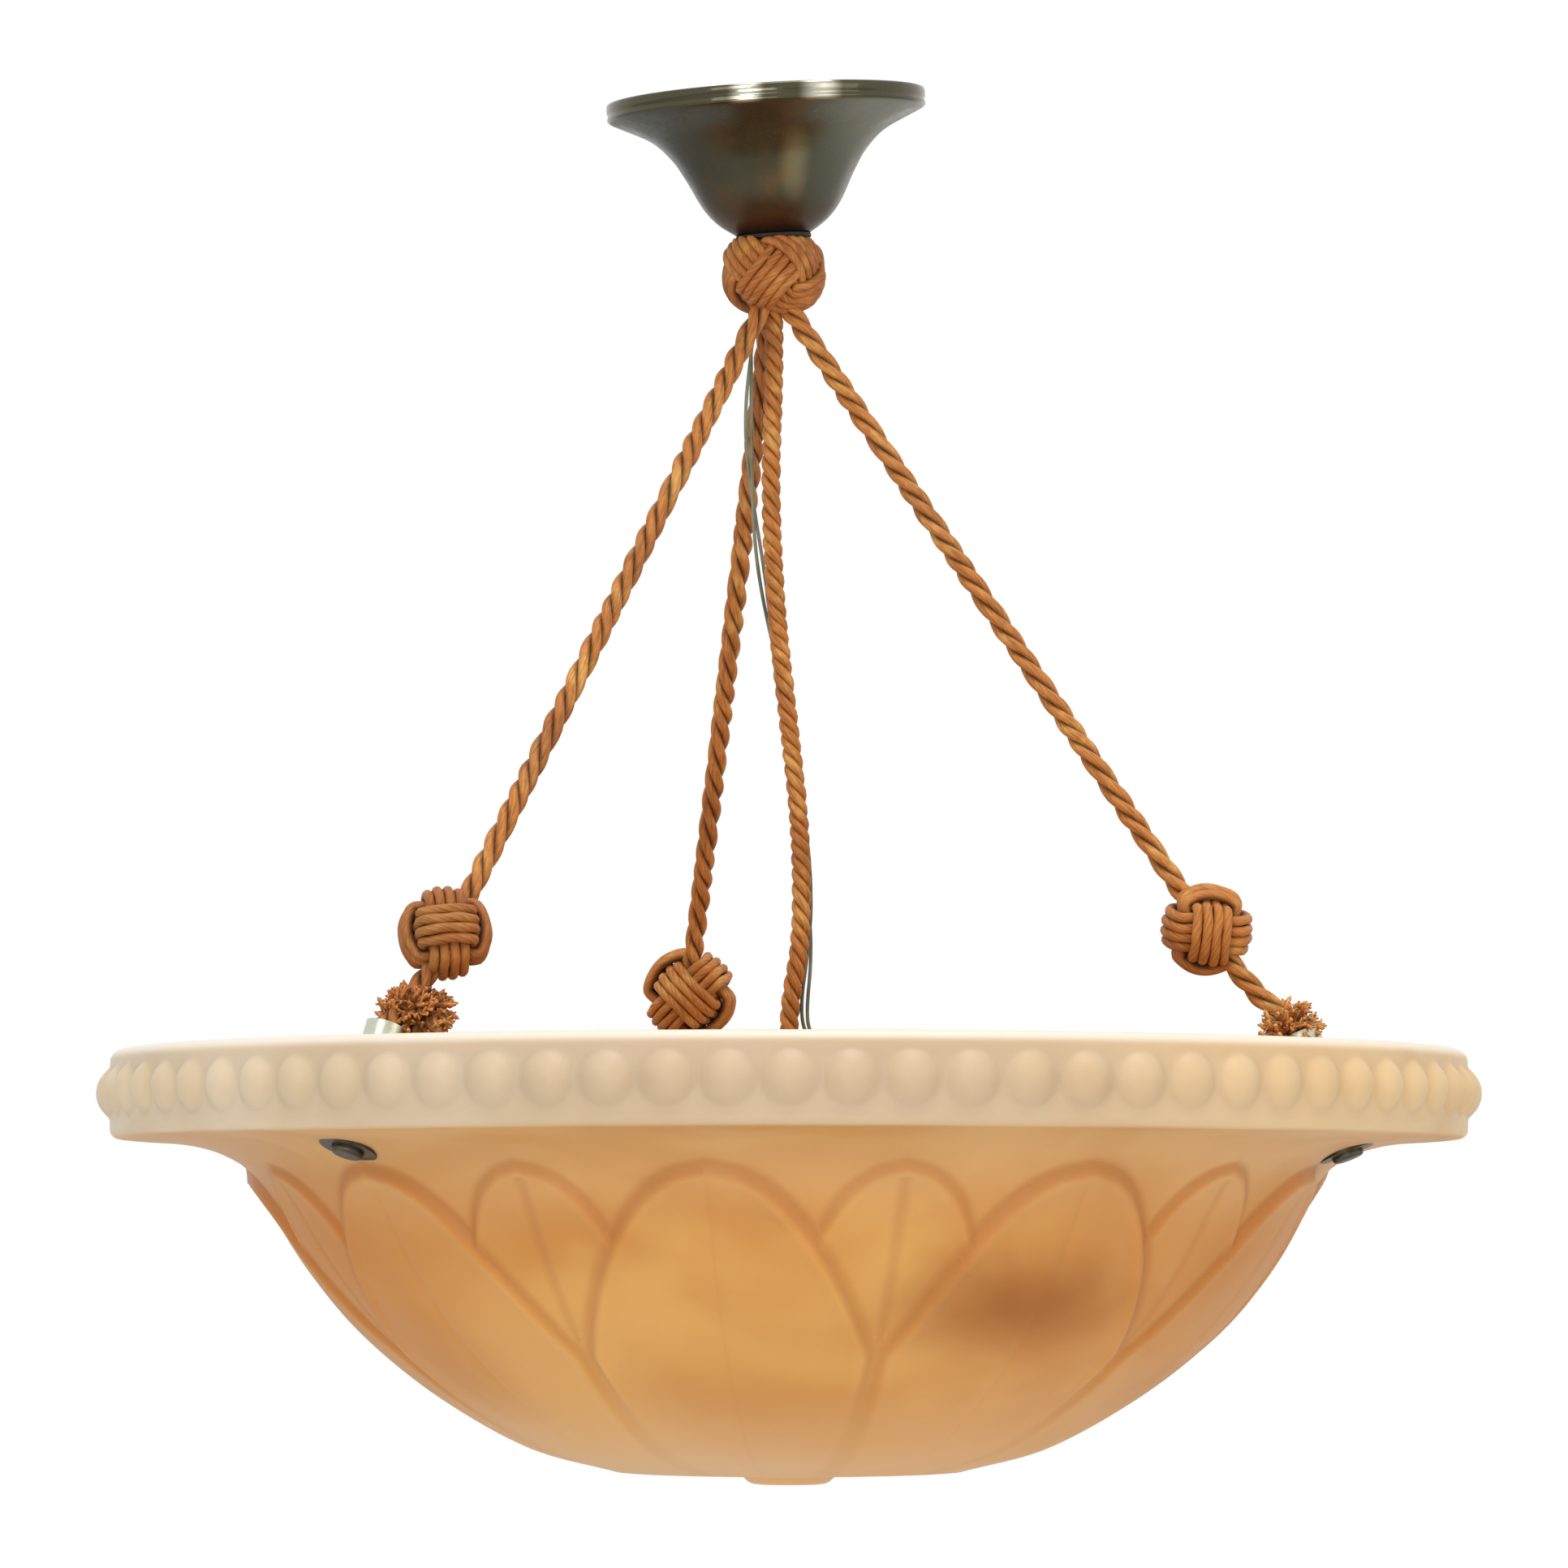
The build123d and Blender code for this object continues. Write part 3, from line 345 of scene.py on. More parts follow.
def laid_rope(name, route, radius, strand_r, lay, start_turn):
    """Three strands laid left-handed round the route's line."""
    line, length = read_route(route)
    across = carried_frame(line)
    run = np.linspace(0, length, len(line))
    strands = Strands()
    helix = radius - strand_r
    wander = 0.25 * np.sin(run * 95 + start_turn) + 0.18 * np.sin(run * 210 + 2 * start_turn)
    for k in range(3):
        turn = start_turn + 2 * math.pi * k / 3 - 2 * math.pi * run / lay + wander
        out = turning_out(across, turn)
        swell = 1 + 0.035 * np.sin(run * 330 + 2.1 * k) + 0.02 * np.sin(run * 790 + k)
        strands.add(line + helix * out, -out, strand_r * swell)
    return strands.piece(name, rope_finish), line, length


ROPE_R = 0.0032
ROPE_STRAND_R = 0.00147
ROPE_LAY = 0.0247
BOWL_X = 0.0045
SIDE_TURN = {"left": -47.0, "right": 73.0, "back": 193.0}
ROPE_BENDS = {
    "left": [(0.1285, -0.2390), (0.1395, -0.2545)],
    "right": [(0.1242, -0.2355), (0.1385, -0.2540)],
    "back": [(0.1360, -0.2474)],
}


def side_spot(side, radius, z):
    """A point at a side's turn round the bowl, that far from the bowl's axis."""
    turn = math.radians(SIDE_TURN[side])
    return Vector((BOWL_X + radius * math.sin(turn), -radius * math.cos(turn), z))


ropes = {}
for side, turn in SIDE_TURN.items():
    start = side_spot(side, 0.0046, -0.052) - Vector((BOWL_X, 0, 0))
    bends = ROPE_BENDS[side] + [(0.150898, -0.263461), (0.155654, -0.27556)]
    route = [start] + [side_spot(side, r, z) for r, z in bends]
    ropes[side] = laid_rope("rope_" + side + "_strands", route, ROPE_R - 0.0001, ROPE_STRAND_R, ROPE_LAY,
                            math.radians(turn))
    settle(ropes[side][0], "rope_" + side)

CENTRE_ROPE_ROUTE = [
    (0.0, 0.0, -0.050), (0.0004, 0.0016, -0.068), (-0.0011, 0.0015, -0.104), (0.0007, 0.0023, -0.141),
    (0.0044, 0.0018, -0.173), (0.0081, 0.0005, -0.206), (0.0082, -0.0006, -0.238),
    (0.0045, 0.0, -0.25525), (0.0045, 0.0, -0.26715)]
centre_rope, centre_line, _ = laid_rope("centre_rope_strands", CENTRE_ROPE_ROUTE, 0.0029, 0.00137, 0.0134, 0.6)
settle(centre_rope, "centre_rope")

# Lamp flex: a thin twin flex with a pale grey-green cover goes up through the top
# knot and the canopy bush to the terminal block, and down beside the slack rope
# into the lampholder's cap.
FLEX_ROUTE = [
    (-0.00612, 0.001871, -0.044), (-0.00612, 0.001871, -0.060), (-0.0077, 0.0029, -0.084),
    (-0.0060, 0.0062, -0.111), (-0.0022, 0.0096, -0.138), (0.0022, 0.0104, -0.164), (0.0072, 0.0088, -0.190),
    (0.0098, 0.0058, -0.214), (0.0112, 0.0030, -0.236), (0.0080, 0.0012, -0.2625),
    (0.0142, 0.0, -0.2665), (0.0147, 0.0, -0.27215)]
FLEX_TAIL_ROUTE = [(-0.00612, 0.001871, -0.044), (-0.00612, 0.001871, -0.0195), (-0.00612, 0.001871, -0.0145),
                   (-0.0035, 0.0114, -0.006), (-0.0035, 0.0114, 0.004)]


def flex_finish(name, cover, shade):
    made, tree, shader = new_finish(name)
    mottle = noise(tree, 60.0, 4.0)
    join_finish(tree, shader, blend_colour(tree, remap(tree, mottle, 0.4, 0.65), cover, shade),
                remap(tree, mottle, 0.3, 0.7, 0.38, 0.55), noise(tree, 900.0, 2.0), 0.00008)
    return made


flex_cover = flex_finish("flex_cover", srgb(134, 136, 110), srgb(92, 94, 74))
FLEX_CORE_R, FLEX_CORE_OFF_AXIS, FLEX_TURN = 0.00053, 0.00084, 0.085


def twin_flex(name, route):
    """Two cores side by side that turn slowly round each other."""
    line, length = read_route(route)
    across = carried_frame(line)
    run = np.linspace(0, length, len(line))
    cores = Strands(10)
    for k in range(2):
        turn = math.pi * k + 2 * math.pi * run / FLEX_TURN
        out = turning_out(across, turn)
        cores.add(line + FLEX_CORE_OFF_AXIS * out, -out, FLEX_CORE_R)
    return cores.piece(name, flex_cover), line


for name, route, length, node in (("lamp_flex_cores", FLEX_ROUTE, 0.2309, "lamp_flex"),
                                  ("flex_tail_cores", FLEX_TAIL_ROUTE, 0.0515, "flex_tail")):
    flex, flex_line = twin_flex(name, route)
    settle(flex, node)

# Knots: the big knot under the canopy is a woven turban knot of five parallel
# thongs, and each rope has a fist knot of three crossing bands of four thongs.
# Both are tied in the rope's own thongs and pulled tight.


def smooth_share(value, low, high):
    t = np.clip((value - low) / (high - low), 0, 1)
    return t * t * (3 - 2 * t)


def wrap_band(strands, centre, turn, squash, ball_r, spots, under, count, strand_r, seed):
    """Parallel strands that follow a closed path over a ball and dip where it passes under."""
    middle = (count - 1) / 2
    n = len(spots)
    phase = 2 * math.pi * np.arange(n) / n
    ahead = unit(np.roll(spots, -1, 0) - np.roll(spots, 1, 0))
    side = unit(np.cross(spots, ahead))
    rng = np.random.default_rng(seed)
    for k in range(count):
        drift = sum(rng.uniform(-1, 1) * np.sin(phase * f + rng.uniform(0, 6.3)) for f in (3, 5, 8))
        bulge = sum(rng.uniform(-1, 1) * np.sin(phase * f + rng.uniform(0, 6.3)) for f in (2, 4, 7))
        depth = ball_r - strand_r - 2.0 * strand_r * under + 0.00014 * bulge
        offset = ((k - middle) * 1.97 * strand_r + 0.00016 * drift) / depth
        way = np.cos(offset)[:, None] * spots + np.sin(offset)[:, None] * side
        line = (way * depth[:, None] * squash) @ turn.T + centre
        inward = -(way / squash) @ turn.T
        strands.add(line, inward, strand_r * (1 + 0.04 * np.sin(phase * 9 + k)), closed=True)


def knot_core(strands, centre, turn, squash, radius):
    """A tight winding that fills the knot behind its bands."""
    turns, n = 8, 180
    t = np.linspace(0, 1, n)
    height = np.cos(math.pi * (0.06 + 0.88 * t))
    ring = np.sqrt(1 - height ** 2)
    spots = np.stack([ring * np.cos(2 * math.pi * turns * t), ring * np.sin(2 * math.pi * turns * t), height], 1)
    line = (spots * 0.76 * radius * squash) @ turn.T + centre
    strands.add(line, -spots @ turn.T, radius * 0.24)


def rotation(view_roll, tip, swing):
    """Turns about the viewing axis, then tips towards the viewer, then swings about the vertical."""
    turned = Matrix.Rotation(math.radians(swing), 3, "Z") @ Matrix.Rotation(math.radians(tip), 3, "X")
    return np.array(turned @ Matrix.Rotation(math.radians(view_roll), 3, "Y"))


def fist_knot(name, centre, turn, ball_r, seed):
    """Three closed bands, each square to the other two: over one and under the other."""
    strands = Strands(10)
    centre, squash = np.array(centre), np.ones(3)
    theta = 2 * math.pi * np.arange(88) / 88
    first, second, flat = np.cos(theta), np.sin(theta), np.zeros(88)
    hidden = np.degrees(np.arcsin(np.abs(second)))
    under = smooth_share(hidden, 38, 60)
    for i, axes in enumerate(((first, second, flat), (flat, first, second), (second, flat, first))):
        wrap_band(strands, centre, turn, squash, ball_r, np.stack(axes, 1), under, 4, FIST_STRAND_R, seed + i)
    knot_core(strands, centre, turn, squash, ball_r - BAND_DEPTH * FIST_STRAND_R)
    return strands.piece(name, rope_finish)


def turban_knot(name, centre, turn, squash, ball_r):
    """One closed band of three leads and four bights, woven over and under in turn."""
    strands = Strands(10)
    n = 396
    phi = 6 * math.pi * np.arange(n) / n
    psi = np.degrees(4 * phi / 3) % 360
    lat = math.radians(TURBAN_REACH) * np.sin(np.radians(psi))
    under = np.interp(psi, [0, 12, 48, 125, 165, 192, 228, 305, 345, 360],
                      [0.5, 0.0, 0.0, 1.0, 1.0, 0.0, 0.0, 1.0, 1.0, 0.5])
    under = np.convolve(np.concatenate([under[-6:], under, under[:6]]), np.ones(13) / 13, "valid")
    lon = math.radians(TURBAN_START) - phi
    spots = np.stack([np.cos(lat) * np.cos(lon), np.cos(lat) * np.sin(lon), np.sin(lat)], 1)
    wrap_band(strands, centre, turn, squash, ball_r, spots, under, 5, TURBAN_STRAND_R, 5)
    knot_core(strands, centre, turn, squash, ball_r - BAND_DEPTH * TURBAN_STRAND_R)
    # The knot is pressed flat against the bush above it, and stands up round the bush's flange
    for rings in strands.points:
        rise = rings[:, 2] - centre[2]
        out = np.hypot(rings[:, 0], rings[:, 1])
        top = PRESSED_TOP + FLANGE_STEP * smooth_share(out, 0.0110, 0.0124)
        pressed = top - PRESS_BLEND * np.logaddexp(0, (top - 1.12 * rise) / PRESS_BLEND)
        rings[:, 2] = centre[2] + np.where(rise > 0, pressed, rise)
    return strands.piece(name, shaded_knot_finish)


BAND_DEPTH = 3.1  # in strand radii
FIST_STRAND_R = 0.00146
TURBAN_STRAND_R, TURBAN_REACH, TURBAN_START = 0.00134, 54, -123
PRESSED_TOP, FLANGE_STEP, PRESS_BLEND = 0.0086, 0.0018, 0.0008
KNOT_PLACE = {"left": (0.1306, -0.2392), "right": (0.1246, -0.2355), "back": (0.1360, -0.2474)}
KNOT_TURN = {"left": (86, -12, 8), "right": (4, 14, 4), "back": (-44, 4, -6)}
KNOT_BALL_R = {"left": 0.0132, "right": 0.0132, "back": 0.0146}
knots = {}
for number, side in enumerate(SIDE_TURN):
    centre = side_spot(side, *KNOT_PLACE[side])
    knots[side] = fist_knot("knot_" + side + "_bands", centre, rotation(*KNOT_TURN[side]), KNOT_BALL_R[side],
                            40 + 7 * number)
    settle(knots[side], "knot_" + side)

top_knot = turban_knot("top_knot_bands", np.array([0, 0, -0.0415]), rotation(0, -4, 0), np.array([1, 1, 0.86]),
                       0.0160)
settle(top_knot, "top_knot")

# Frayed tufts: below its knot each rope enters a socket, and its cut thong ends
# stand out round the socket's mouth as a short stiff brush.
FULL_TURN = 6.283


def field_tree(name, inputs):
    """A Geometry Nodes tree and its two ends; an input is given its value, or its kind as a word."""
    tree = bpy.data.node_groups.new(name, "GeometryNodeTree")
    for socket_name, value in inputs.items():
        kind = value if isinstance(value, str) else "Int" if isinstance(value, int) else "Float"
        socket = tree.interface.new_socket(name=socket_name, in_out="INPUT", socket_type="NodeSocket" + kind)
        if kind != value:
            socket.default_value = value
    tree.interface.new_socket(name="Geometry", in_out="OUTPUT", socket_type="NodeSocketGeometry")
    return tree, tree.nodes.new("NodeGroupInput").outputs, tree.nodes.new("NodeGroupOutput").inputs


def dressed_tree(tree, made, given, result):
    """The last node's geometry in the given finish, as the tree's result."""
    dressed = put(tree, "GeometryNodeSetMaterial", {"Geometry": made.outputs[0], "Material": given["Finish"]})
    tree.links.new(dressed.outputs[0], result[0])
    return tree


def build_brush_tree():
    """Short thong ends stood on a seat, square to it, with random turn and length."""
    tree, given, result = field_tree("frayed_brush", {
        "Seat": "Geometry", "Thong": "Object", "Spacing": 0.001, "Least": 0.7, "Most": 1.2, "Seed": 1,
        "Finish": "Material"})
    spread = put(tree, "GeometryNodeDistributePointsOnFaces",
                 {"Mesh": given["Seat"], "Distance Min": given["Spacing"],
                  "Density Max": 900000.0, "Seed": given["Seed"]},
                 distribute_method="POISSON")
    facing = put(tree, "FunctionNodeAlignRotationToVector", {"Vector": spread.outputs["Normal"]}, axis="Z")
    spin, length = (put(tree, "FunctionNodeRandomValue", {2: least, 3: most, "Seed": given["Seed"]},
                        data_type="FLOAT").outputs[1]
                    for least, most in ((0.0, FULL_TURN), (given["Least"], given["Most"])))
    own_turn = put(tree, "ShaderNodeCombineXYZ", {"Z": spin})
    turned = put(tree, "FunctionNodeRotateRotation", {0: facing.outputs[0], 1: own_turn.outputs[0]},
                 rotation_space="LOCAL")
    thong = put(tree, "GeometryNodeObjectInfo", {"Object": given["Thong"]})
    stood = put(tree, "GeometryNodeInstanceOnPoints",
                {"Points": spread.outputs["Points"], "Instance": thong.outputs["Geometry"],
                 "Rotation": turned.outputs[0], "Scale": length})
    real = put(tree, "GeometryNodeRealizeInstances", {0: stood.outputs[0]})
    return dressed_tree(tree, real, given, result)


def grow(source, tree, values, name):
    """The tree's result as a plain mesh piece."""
    modifier = source.modifiers.new("build", "NODES")
    modifier.node_group = tree
    sockets = {item.name: item.identifier for item in tree.interface.items_tree if item.in_out == "INPUT"}
    for key, value in values.items():
        modifier[sockets[key]] = value
    depsgraph = bpy.context.evaluated_depsgraph_get()
    mesh = bpy.data.meshes.new_from_object(
        source.evaluated_get(depsgraph), preserve_all_data_layers=True, depsgraph=depsgraph)
    source.modifiers.remove(modifier)
    mesh.name = name
    bpy.data.objects.remove(source)
    return linked(name, mesh)


# A brighter copy of the rope's finish for the cut thong ends: painted light that offsets the shade among the
# close-set ends
lit_frayed_finish = laid_finish("frayed_rope_ends_painted_light", srgb(240, 158, 80), srgb(246, 196, 116), srgb(186, 104, 46), 6.0)


def bent_thong():
    """One crumpled thong end that splits in three at its tip."""
    t = np.linspace(0, 1, 6)
    line = np.stack([0.0030 * t ** 1.6 + 0.0003 * np.sin(9 * t), 0.0007 * np.sin(7 * t), 0.0060 * t - 0.0026], 1)
    strands = Strands(5)
    strands.add(line, np.tile([-1.0, 0, 0], (6, 1)), 0.00082 * (1 - 0.35 * t ** 3) * (1 + 0.1 * np.sin(14 * t)))
    for x, y in ((0.9, 0.5), (-0.7, 0.6)):
        tip = t[:3] * 0.0036
        hair = line[-2] + np.stack([tip * x, tip * y, tip * 1.1], 1)
        strands.add(hair, np.tile([0.0, 1.0, 0.1], (3, 1)), [0.0004, 0.00036, 0.00024])
    return strands.piece("thong_end", lit_frayed_finish)


brush_tree = build_brush_tree()
thong_end = bent_thong()
TUFT_SPACING = 0.00112
TUFT_MIDDLE = {"left": (0.1410, -0.2622), "right": (0.1490, -0.2654), "back": (0.1472, -0.2632)}
TUFT_SIZE = {"left": (0.0074, 0.0056), "right": (0.0054, 0.0060), "back": (0.0050, 0.0048)}
tufts = {}
for number, side in enumerate(SIDE_TURN):
    across, upright = TUFT_SIZE[side]
    seat_mesh = bpy.data.meshes.new("tuft_seat")
    seat_shape = bmesh.new()
    bmesh.ops.create_icosphere(seat_shape, subdivisions=3, radius=1.0)
    seat_shape.transform(Matrix.Diagonal((across, across, upright, 1)))
    seat_shape.transform(Matrix.Translation(side_spot(side, *TUFT_MIDDLE[side])))
    seat_shape.to_mesh(seat_mesh)
    seat_shape.free()
    tufts[side] = grow(linked("tuft_seat", seat_mesh), brush_tree, {
        "Thong": thong_end, "Spacing": TUFT_SPACING, "Least": 0.65, "Most": 1.15, "Seed": 11 + number,
        "Finish": lit_frayed_finish}, "rope_tuft_" + side + "_brush")
    settle(tufts[side], "rope_tuft_" + side)
bpy.data.objects.remove(thong_end)

# Bowl: pressed amber glass, about 8 mm thick, with a beaded band round its rim, a
# hollow cove below it, and two rows of nine raised petals down to a flat foot
# with a small button. It is satin all over and clouded like alabaster.
RIM_Z = -0.2694
BAND_R, BAND_H, RIM_INNER_R = 0.196, 0.025, 0.183
BEADS, BEAD_R, BEAD_RISE, BEAD_DEPTH, BEAD_BLEND = 76, 0.0082, 0.004, 0.0123, 0.0006
WALL = [(0.189, 0.0256), (0.180, 0.0263), (0.171, 0.0276), (0.163, 0.0302), (0.1555, 0.035), (0.1484, 0.0446),
        (0.1367, 0.0626), (0.1207, 0.0816), (0.0998, 0.0996), (0.0752, 0.1141), (0.050, 0.1211)]
GLASS_WALL = 0.008
PETALS, PETAL_TURN = 9, -8.3
NO_PETAL = 0.02
FRONT_PETAL = [(0.0, 0.0334), (0.0120, 0.0364), (0.0225, 0.0446), (0.0322, 0.0600), (0.0385, 0.0780),
               (0.0410, 0.0960), (0.0420, 0.1200)]
BACK_PETAL = [(0.0, 0.0334), (0.0100, 0.0366), (0.0185, 0.0450), (0.0245, 0.0610), (0.0250, 0.0800),
              (0.0180, 0.1040)]


def build_repeat_tree():
    """A sector repeated round the Z axis and welded into one surface."""
    tree, given, result = field_tree("repeat_round", {
        "Sector": "Geometry", "Count": 9, "Weld": 0.00001, "Finish": "Material"})
    places = put(tree, "GeometryNodePoints", {"Count": given["Count"]})
    step = math_node(tree, "DIVIDE", 2 * math.pi, given["Count"])
    angle = times(tree, put(tree, "GeometryNodeInputIndex").outputs[0], step)
    turn = put(tree, "ShaderNodeCombineXYZ", {"Z": angle})
    copies = put(tree, "GeometryNodeInstanceOnPoints",
                 {"Points": places.outputs[0], "Instance": given["Sector"], "Rotation": turn.outputs[0]})
    real = put(tree, "GeometryNodeRealizeInstances", {0: copies.outputs[0]})
    welded = put(tree, "GeometryNodeMergeByDistance",
                 {"Geometry": real.outputs[0], "Distance": given["Weld"]})
    smooth = put(tree, "GeometryNodeSetShadeSmooth", {"Geometry": welded.outputs[0]})
    return dressed_tree(tree, smooth, given, result)


repeat_tree = build_repeat_tree()


def repeated(sector, count, name, finish=None, weld=0.00002):
    return grow(sector, repeat_tree, {"Count": count, "Weld": weld, "Finish": finish or amber_glass}, name)


def flowing(points, n):
    """A smooth line through the points, as n points evenly spaced along it."""
    points = np.array(points, float)
    ends = np.vstack([2 * points[0] - points[1], points, 2 * points[-1] - points[-2]])
    fine = []
    for i in range(len(points) - 1):
        a, b, c, d = ends[i:i + 4]
        for t in np.linspace(0, 1, 16, endpoint=False):
            fine.append(0.5 * (2 * b + (c - a) * t + (2 * a - 5 * b + 4 * c - d) * t ** 2
                               + (3 * b - a - 3 * c + d) * t ** 3))
    return respaced(np.array(fine + [points[-1]]), n)


def sector_mesh(name, rows, columns, count, place, values, coarse_from=None, coarse=1):
    """A grid over one sector; place gives the points of a row, and values its attributes.
    From a given row on, only every so-many column is kept."""
    points, faces, stored, ring_start = [], [], {}, []
    width = 2 * math.pi / count
    for i in range(rows):
        keep = 1 if coarse_from is None or i < coarse_from else coarse
        angles = np.linspace(-width / 2, width / 2, columns + 1)[::keep]
        ring_start.append((len(points), keep))
        points += [tuple(p) for p in place(i, angles)]
        for key, data in values(i, angles).items():
            stored.setdefault(key, []).extend(data)
    for i in range(rows - 1):
        (a, step_a), (b, step_b) = ring_start[i], ring_start[i + 1]
        n_b = columns // step_b
        ratio = step_b // step_a
        for j in range(n_b):
            upper = [a + j * ratio + k for k in range(ratio + 1)]
            faces.append(tuple(upper + [b + j + 1, b + j]))
    mesh = bpy.data.meshes.new(name)
    mesh.from_pydata(points, [], faces)
    for key, data in stored.items():
        layer = mesh.attributes.new(key, "FLOAT", "POINT")
        layer.data.foreach_set("value", np.array(data, np.float32))
    return linked(name, mesh)


def build_cloud_group():
    """Alabaster clouding: soft drifting patches between two colours, in space."""
    tree, given, result = group_tree(
        "glass_clouds", {"Clear": WHITE, "Cloudy": WHITE, "Scale": 12.0, "Low": 0.4, "High": 0.65}, ["Color"])
    drift = noise(tree, given["Scale"], 3.0, Roughness=0.5, Distortion=0.8)
    share = remap(tree, drift, given["Low"], given["High"])
    tree.links.new(blend_colour(tree, share, given["Clear"], given["Cloudy"]), result["Color"])
    return tree


cloud_group = build_cloud_group()


def clouds(tree, clear, cloudy, scale, low=0.4, high=0.65):
    return put(tree, "ShaderNodeGroup", {"Clear": clear, "Cloudy": cloudy, "Scale": scale, "Low": low,
                                         "High": high}, node_tree=cloud_group).outputs["Color"]


def attribute(tree, name):
    return put(tree, "ShaderNodeAttribute", attribute_name=name).outputs["Fac"]


def vector_node(tree, operation, first, second=(0, 0, 0)):
    return put(tree, "ShaderNodeVectorMath", {0: first, 1: second}, operation=operation).outputs


def distance_from(tree, spot, stretch):
    """Distance from a spot in the object's space, with each axis stretched."""
    off = vector_node(tree, "SUBTRACT", object_place(tree), spot)[0]
    off = vector_node(tree, "MULTIPLY", off, stretch)[0]
    return vector_node(tree, "LENGTH", off)["Value"]


def petal_edge_shade(tree, edge, middle, near, far, most):
    """A soft line of painted shade that runs just inside a petal's edge."""
    off = math_node(tree, "ABSOLUTE", math_node(tree, "SUBTRACT", edge, middle))
    return remap(tree, off, near, far, most, 0.0)


def amber_glass_finish():
    made, tree, shader = new_finish("amber_glass")
    parts = separated(tree, object_place(tree))
    height = parts["Z"]
    wander = noise(tree, 16.0, 2.0)
    wandered = math_node(tree, "ADD", height, times(tree, wander, 0.012))
    rightward = remap(tree, parts["X"], -0.10, 0.17)
    off_middle = math_node(tree, "ABSOLUTE", parts["X"])
    edge_on_shade = remap(tree, off_middle, 0.02, 0.16)

    # Cream at the rim: warmer to the right, greyer towards the middle, and nearly white on the rounded top edge
    # as a painted highlight
    cream = clouds(tree, srgb(220, 200, 172), srgb(212, 190, 158), 17.0, 0.42, 0.7)
    warm_cream = clouds(tree, srgb(226, 194, 148), srgb(216, 180, 130), 17.0, 0.42, 0.7)
    for share, colour in ((rightward, warm_cream),
                          (remap(tree, off_middle, 0.03, 0.17, 0.7, 0.0), srgb(200, 176, 146)),
                          # Painted highlight: nearly white on the rounded top edge
                          (remap(tree, height, -0.2728, -0.2702, 0.0, 0.75), srgb(246, 238, 224))):
        cream = blend_colour(tree, share, cream, colour)

    # Amber below, paler under the cove and at the foot, with a painted shadow of the
    # lampholder and bulb inside: a darker patch drawn out to the right of the front
    peach = clouds(tree, srgb(222, 172, 112), srgb(210, 154, 90), 11.0)
    amber = clouds(tree, srgb(224, 167, 92), srgb(208, 143, 70), 10.0, 0.36, 0.66)
    # Painted shade: the amber deepens towards the sides, where the wall is seen edge-on
    amber = blend_colour(tree, remap(tree, edge_on_shade, 0, 1, 0.0, 0.75), amber, srgb(202, 132, 62))
    foot = blend_colour(tree, rightward, srgb(228, 184, 136), srgb(228, 168, 104))
    off = vector_node(tree, "SUBTRACT", object_place(tree), (0.062, -0.113, -0.341))[0]
    holder_shadow_shape = put(tree, "ShaderNodeMapping", {"Vector": off, "Rotation": (0, 0.45, 0), "Scale": (0.72, 0.9, 1.7)})
    off_holder_shadow = vector_node(tree, "LENGTH", holder_shadow_shape.outputs[0])["Value"]
    off_holder_shadow = math_node(tree, "ADD", off_holder_shadow, times(tree, noise(tree, 30.0, 3.0), 0.020))

    # The hollow turns cream softly, the outside sharply under the rim band
    hollow = attribute(tree, "inner_side")
    outside = math_node(tree, "SUBTRACT", 1.0, hollow)
    rim = times(tree, remap(tree, height, -0.2950, -0.2938), outside)
    rim = math_node(tree, "ADD", rim, times(tree, remap(tree, wandered, -0.335, -0.262), hollow))

    # Painted shade along a line just inside the petals' edges, stronger higher up and towards
    # the sides, and in the creases of their midribs
    front, behind = attribute(tree, "front_edge"), attribute(tree, "behind_edge")
    behind_edge_shade = times(tree, petal_edge_shade(tree, behind, 0.0010, 0.0003, 0.0034, 0.9),
                            remap(tree, front, -0.0012, -0.0002, 1.0, 0.0))
    line = math_node(tree, "MAXIMUM", petal_edge_shade(tree, front, 0.0012, 0.0004, 0.0038, 1.0), behind_edge_shade)
    line = times(tree, line, remap(tree, height, -0.388, -0.345, 0.12, 0.42))
    line = times(tree, line, remap(tree, edge_on_shade, 0, 1, 1.0, 1.6), clamp=True)
    rib_crease_shade = remap(tree, attribute(tree, "petal_rib"), 0.0003, 0.0030, 0.25, 0.0)

    body = amber
    for share, colour in ((remap(tree, wandered, -0.322, -0.290), peach),
                          (remap(tree, wandered, -0.385, -0.358, 0.75, 0.0), foot),
                          # Painted shadow of the lampholder and bulb inside the bowl
                          (remap(tree, off_holder_shadow, 0.010, 0.050, 0.9, 0.0), srgb(162, 90, 20)),
                          # Painted shade along the petals' edges and in their midrib creases
                          (rim, cream), (line, srgb(190, 118, 50)), (rib_crease_shade, srgb(186, 118, 60))):
        body = blend_colour(tree, share, body, colour)
    join_finish(tree, shader, body, remap(tree, wander, 0.3, 0.7, 0.40, 0.54), noise(tree, 1400.0, 2.0), 0.00004)
    set_values(shader, {"Transmission Weight": 0.05, "IOR": 1.5, "Specular IOR Level": 0.3,
                        "Subsurface Weight": 0.5, "Subsurface Radius": (1.0, 0.86, 0.66),
                        "Subsurface Scale": 0.007})
    return made


amber_glass = amber_glass_finish()


def arc(centre, radius, start, stop, n):
    """Points on a quarter turn of a band's rounded edge, as radius and depth."""
    turn = np.radians(np.linspace(start, stop, n))
    return [(centre[0] + radius * math.cos(a), centre[1] - radius * math.sin(a)) for a in turn]


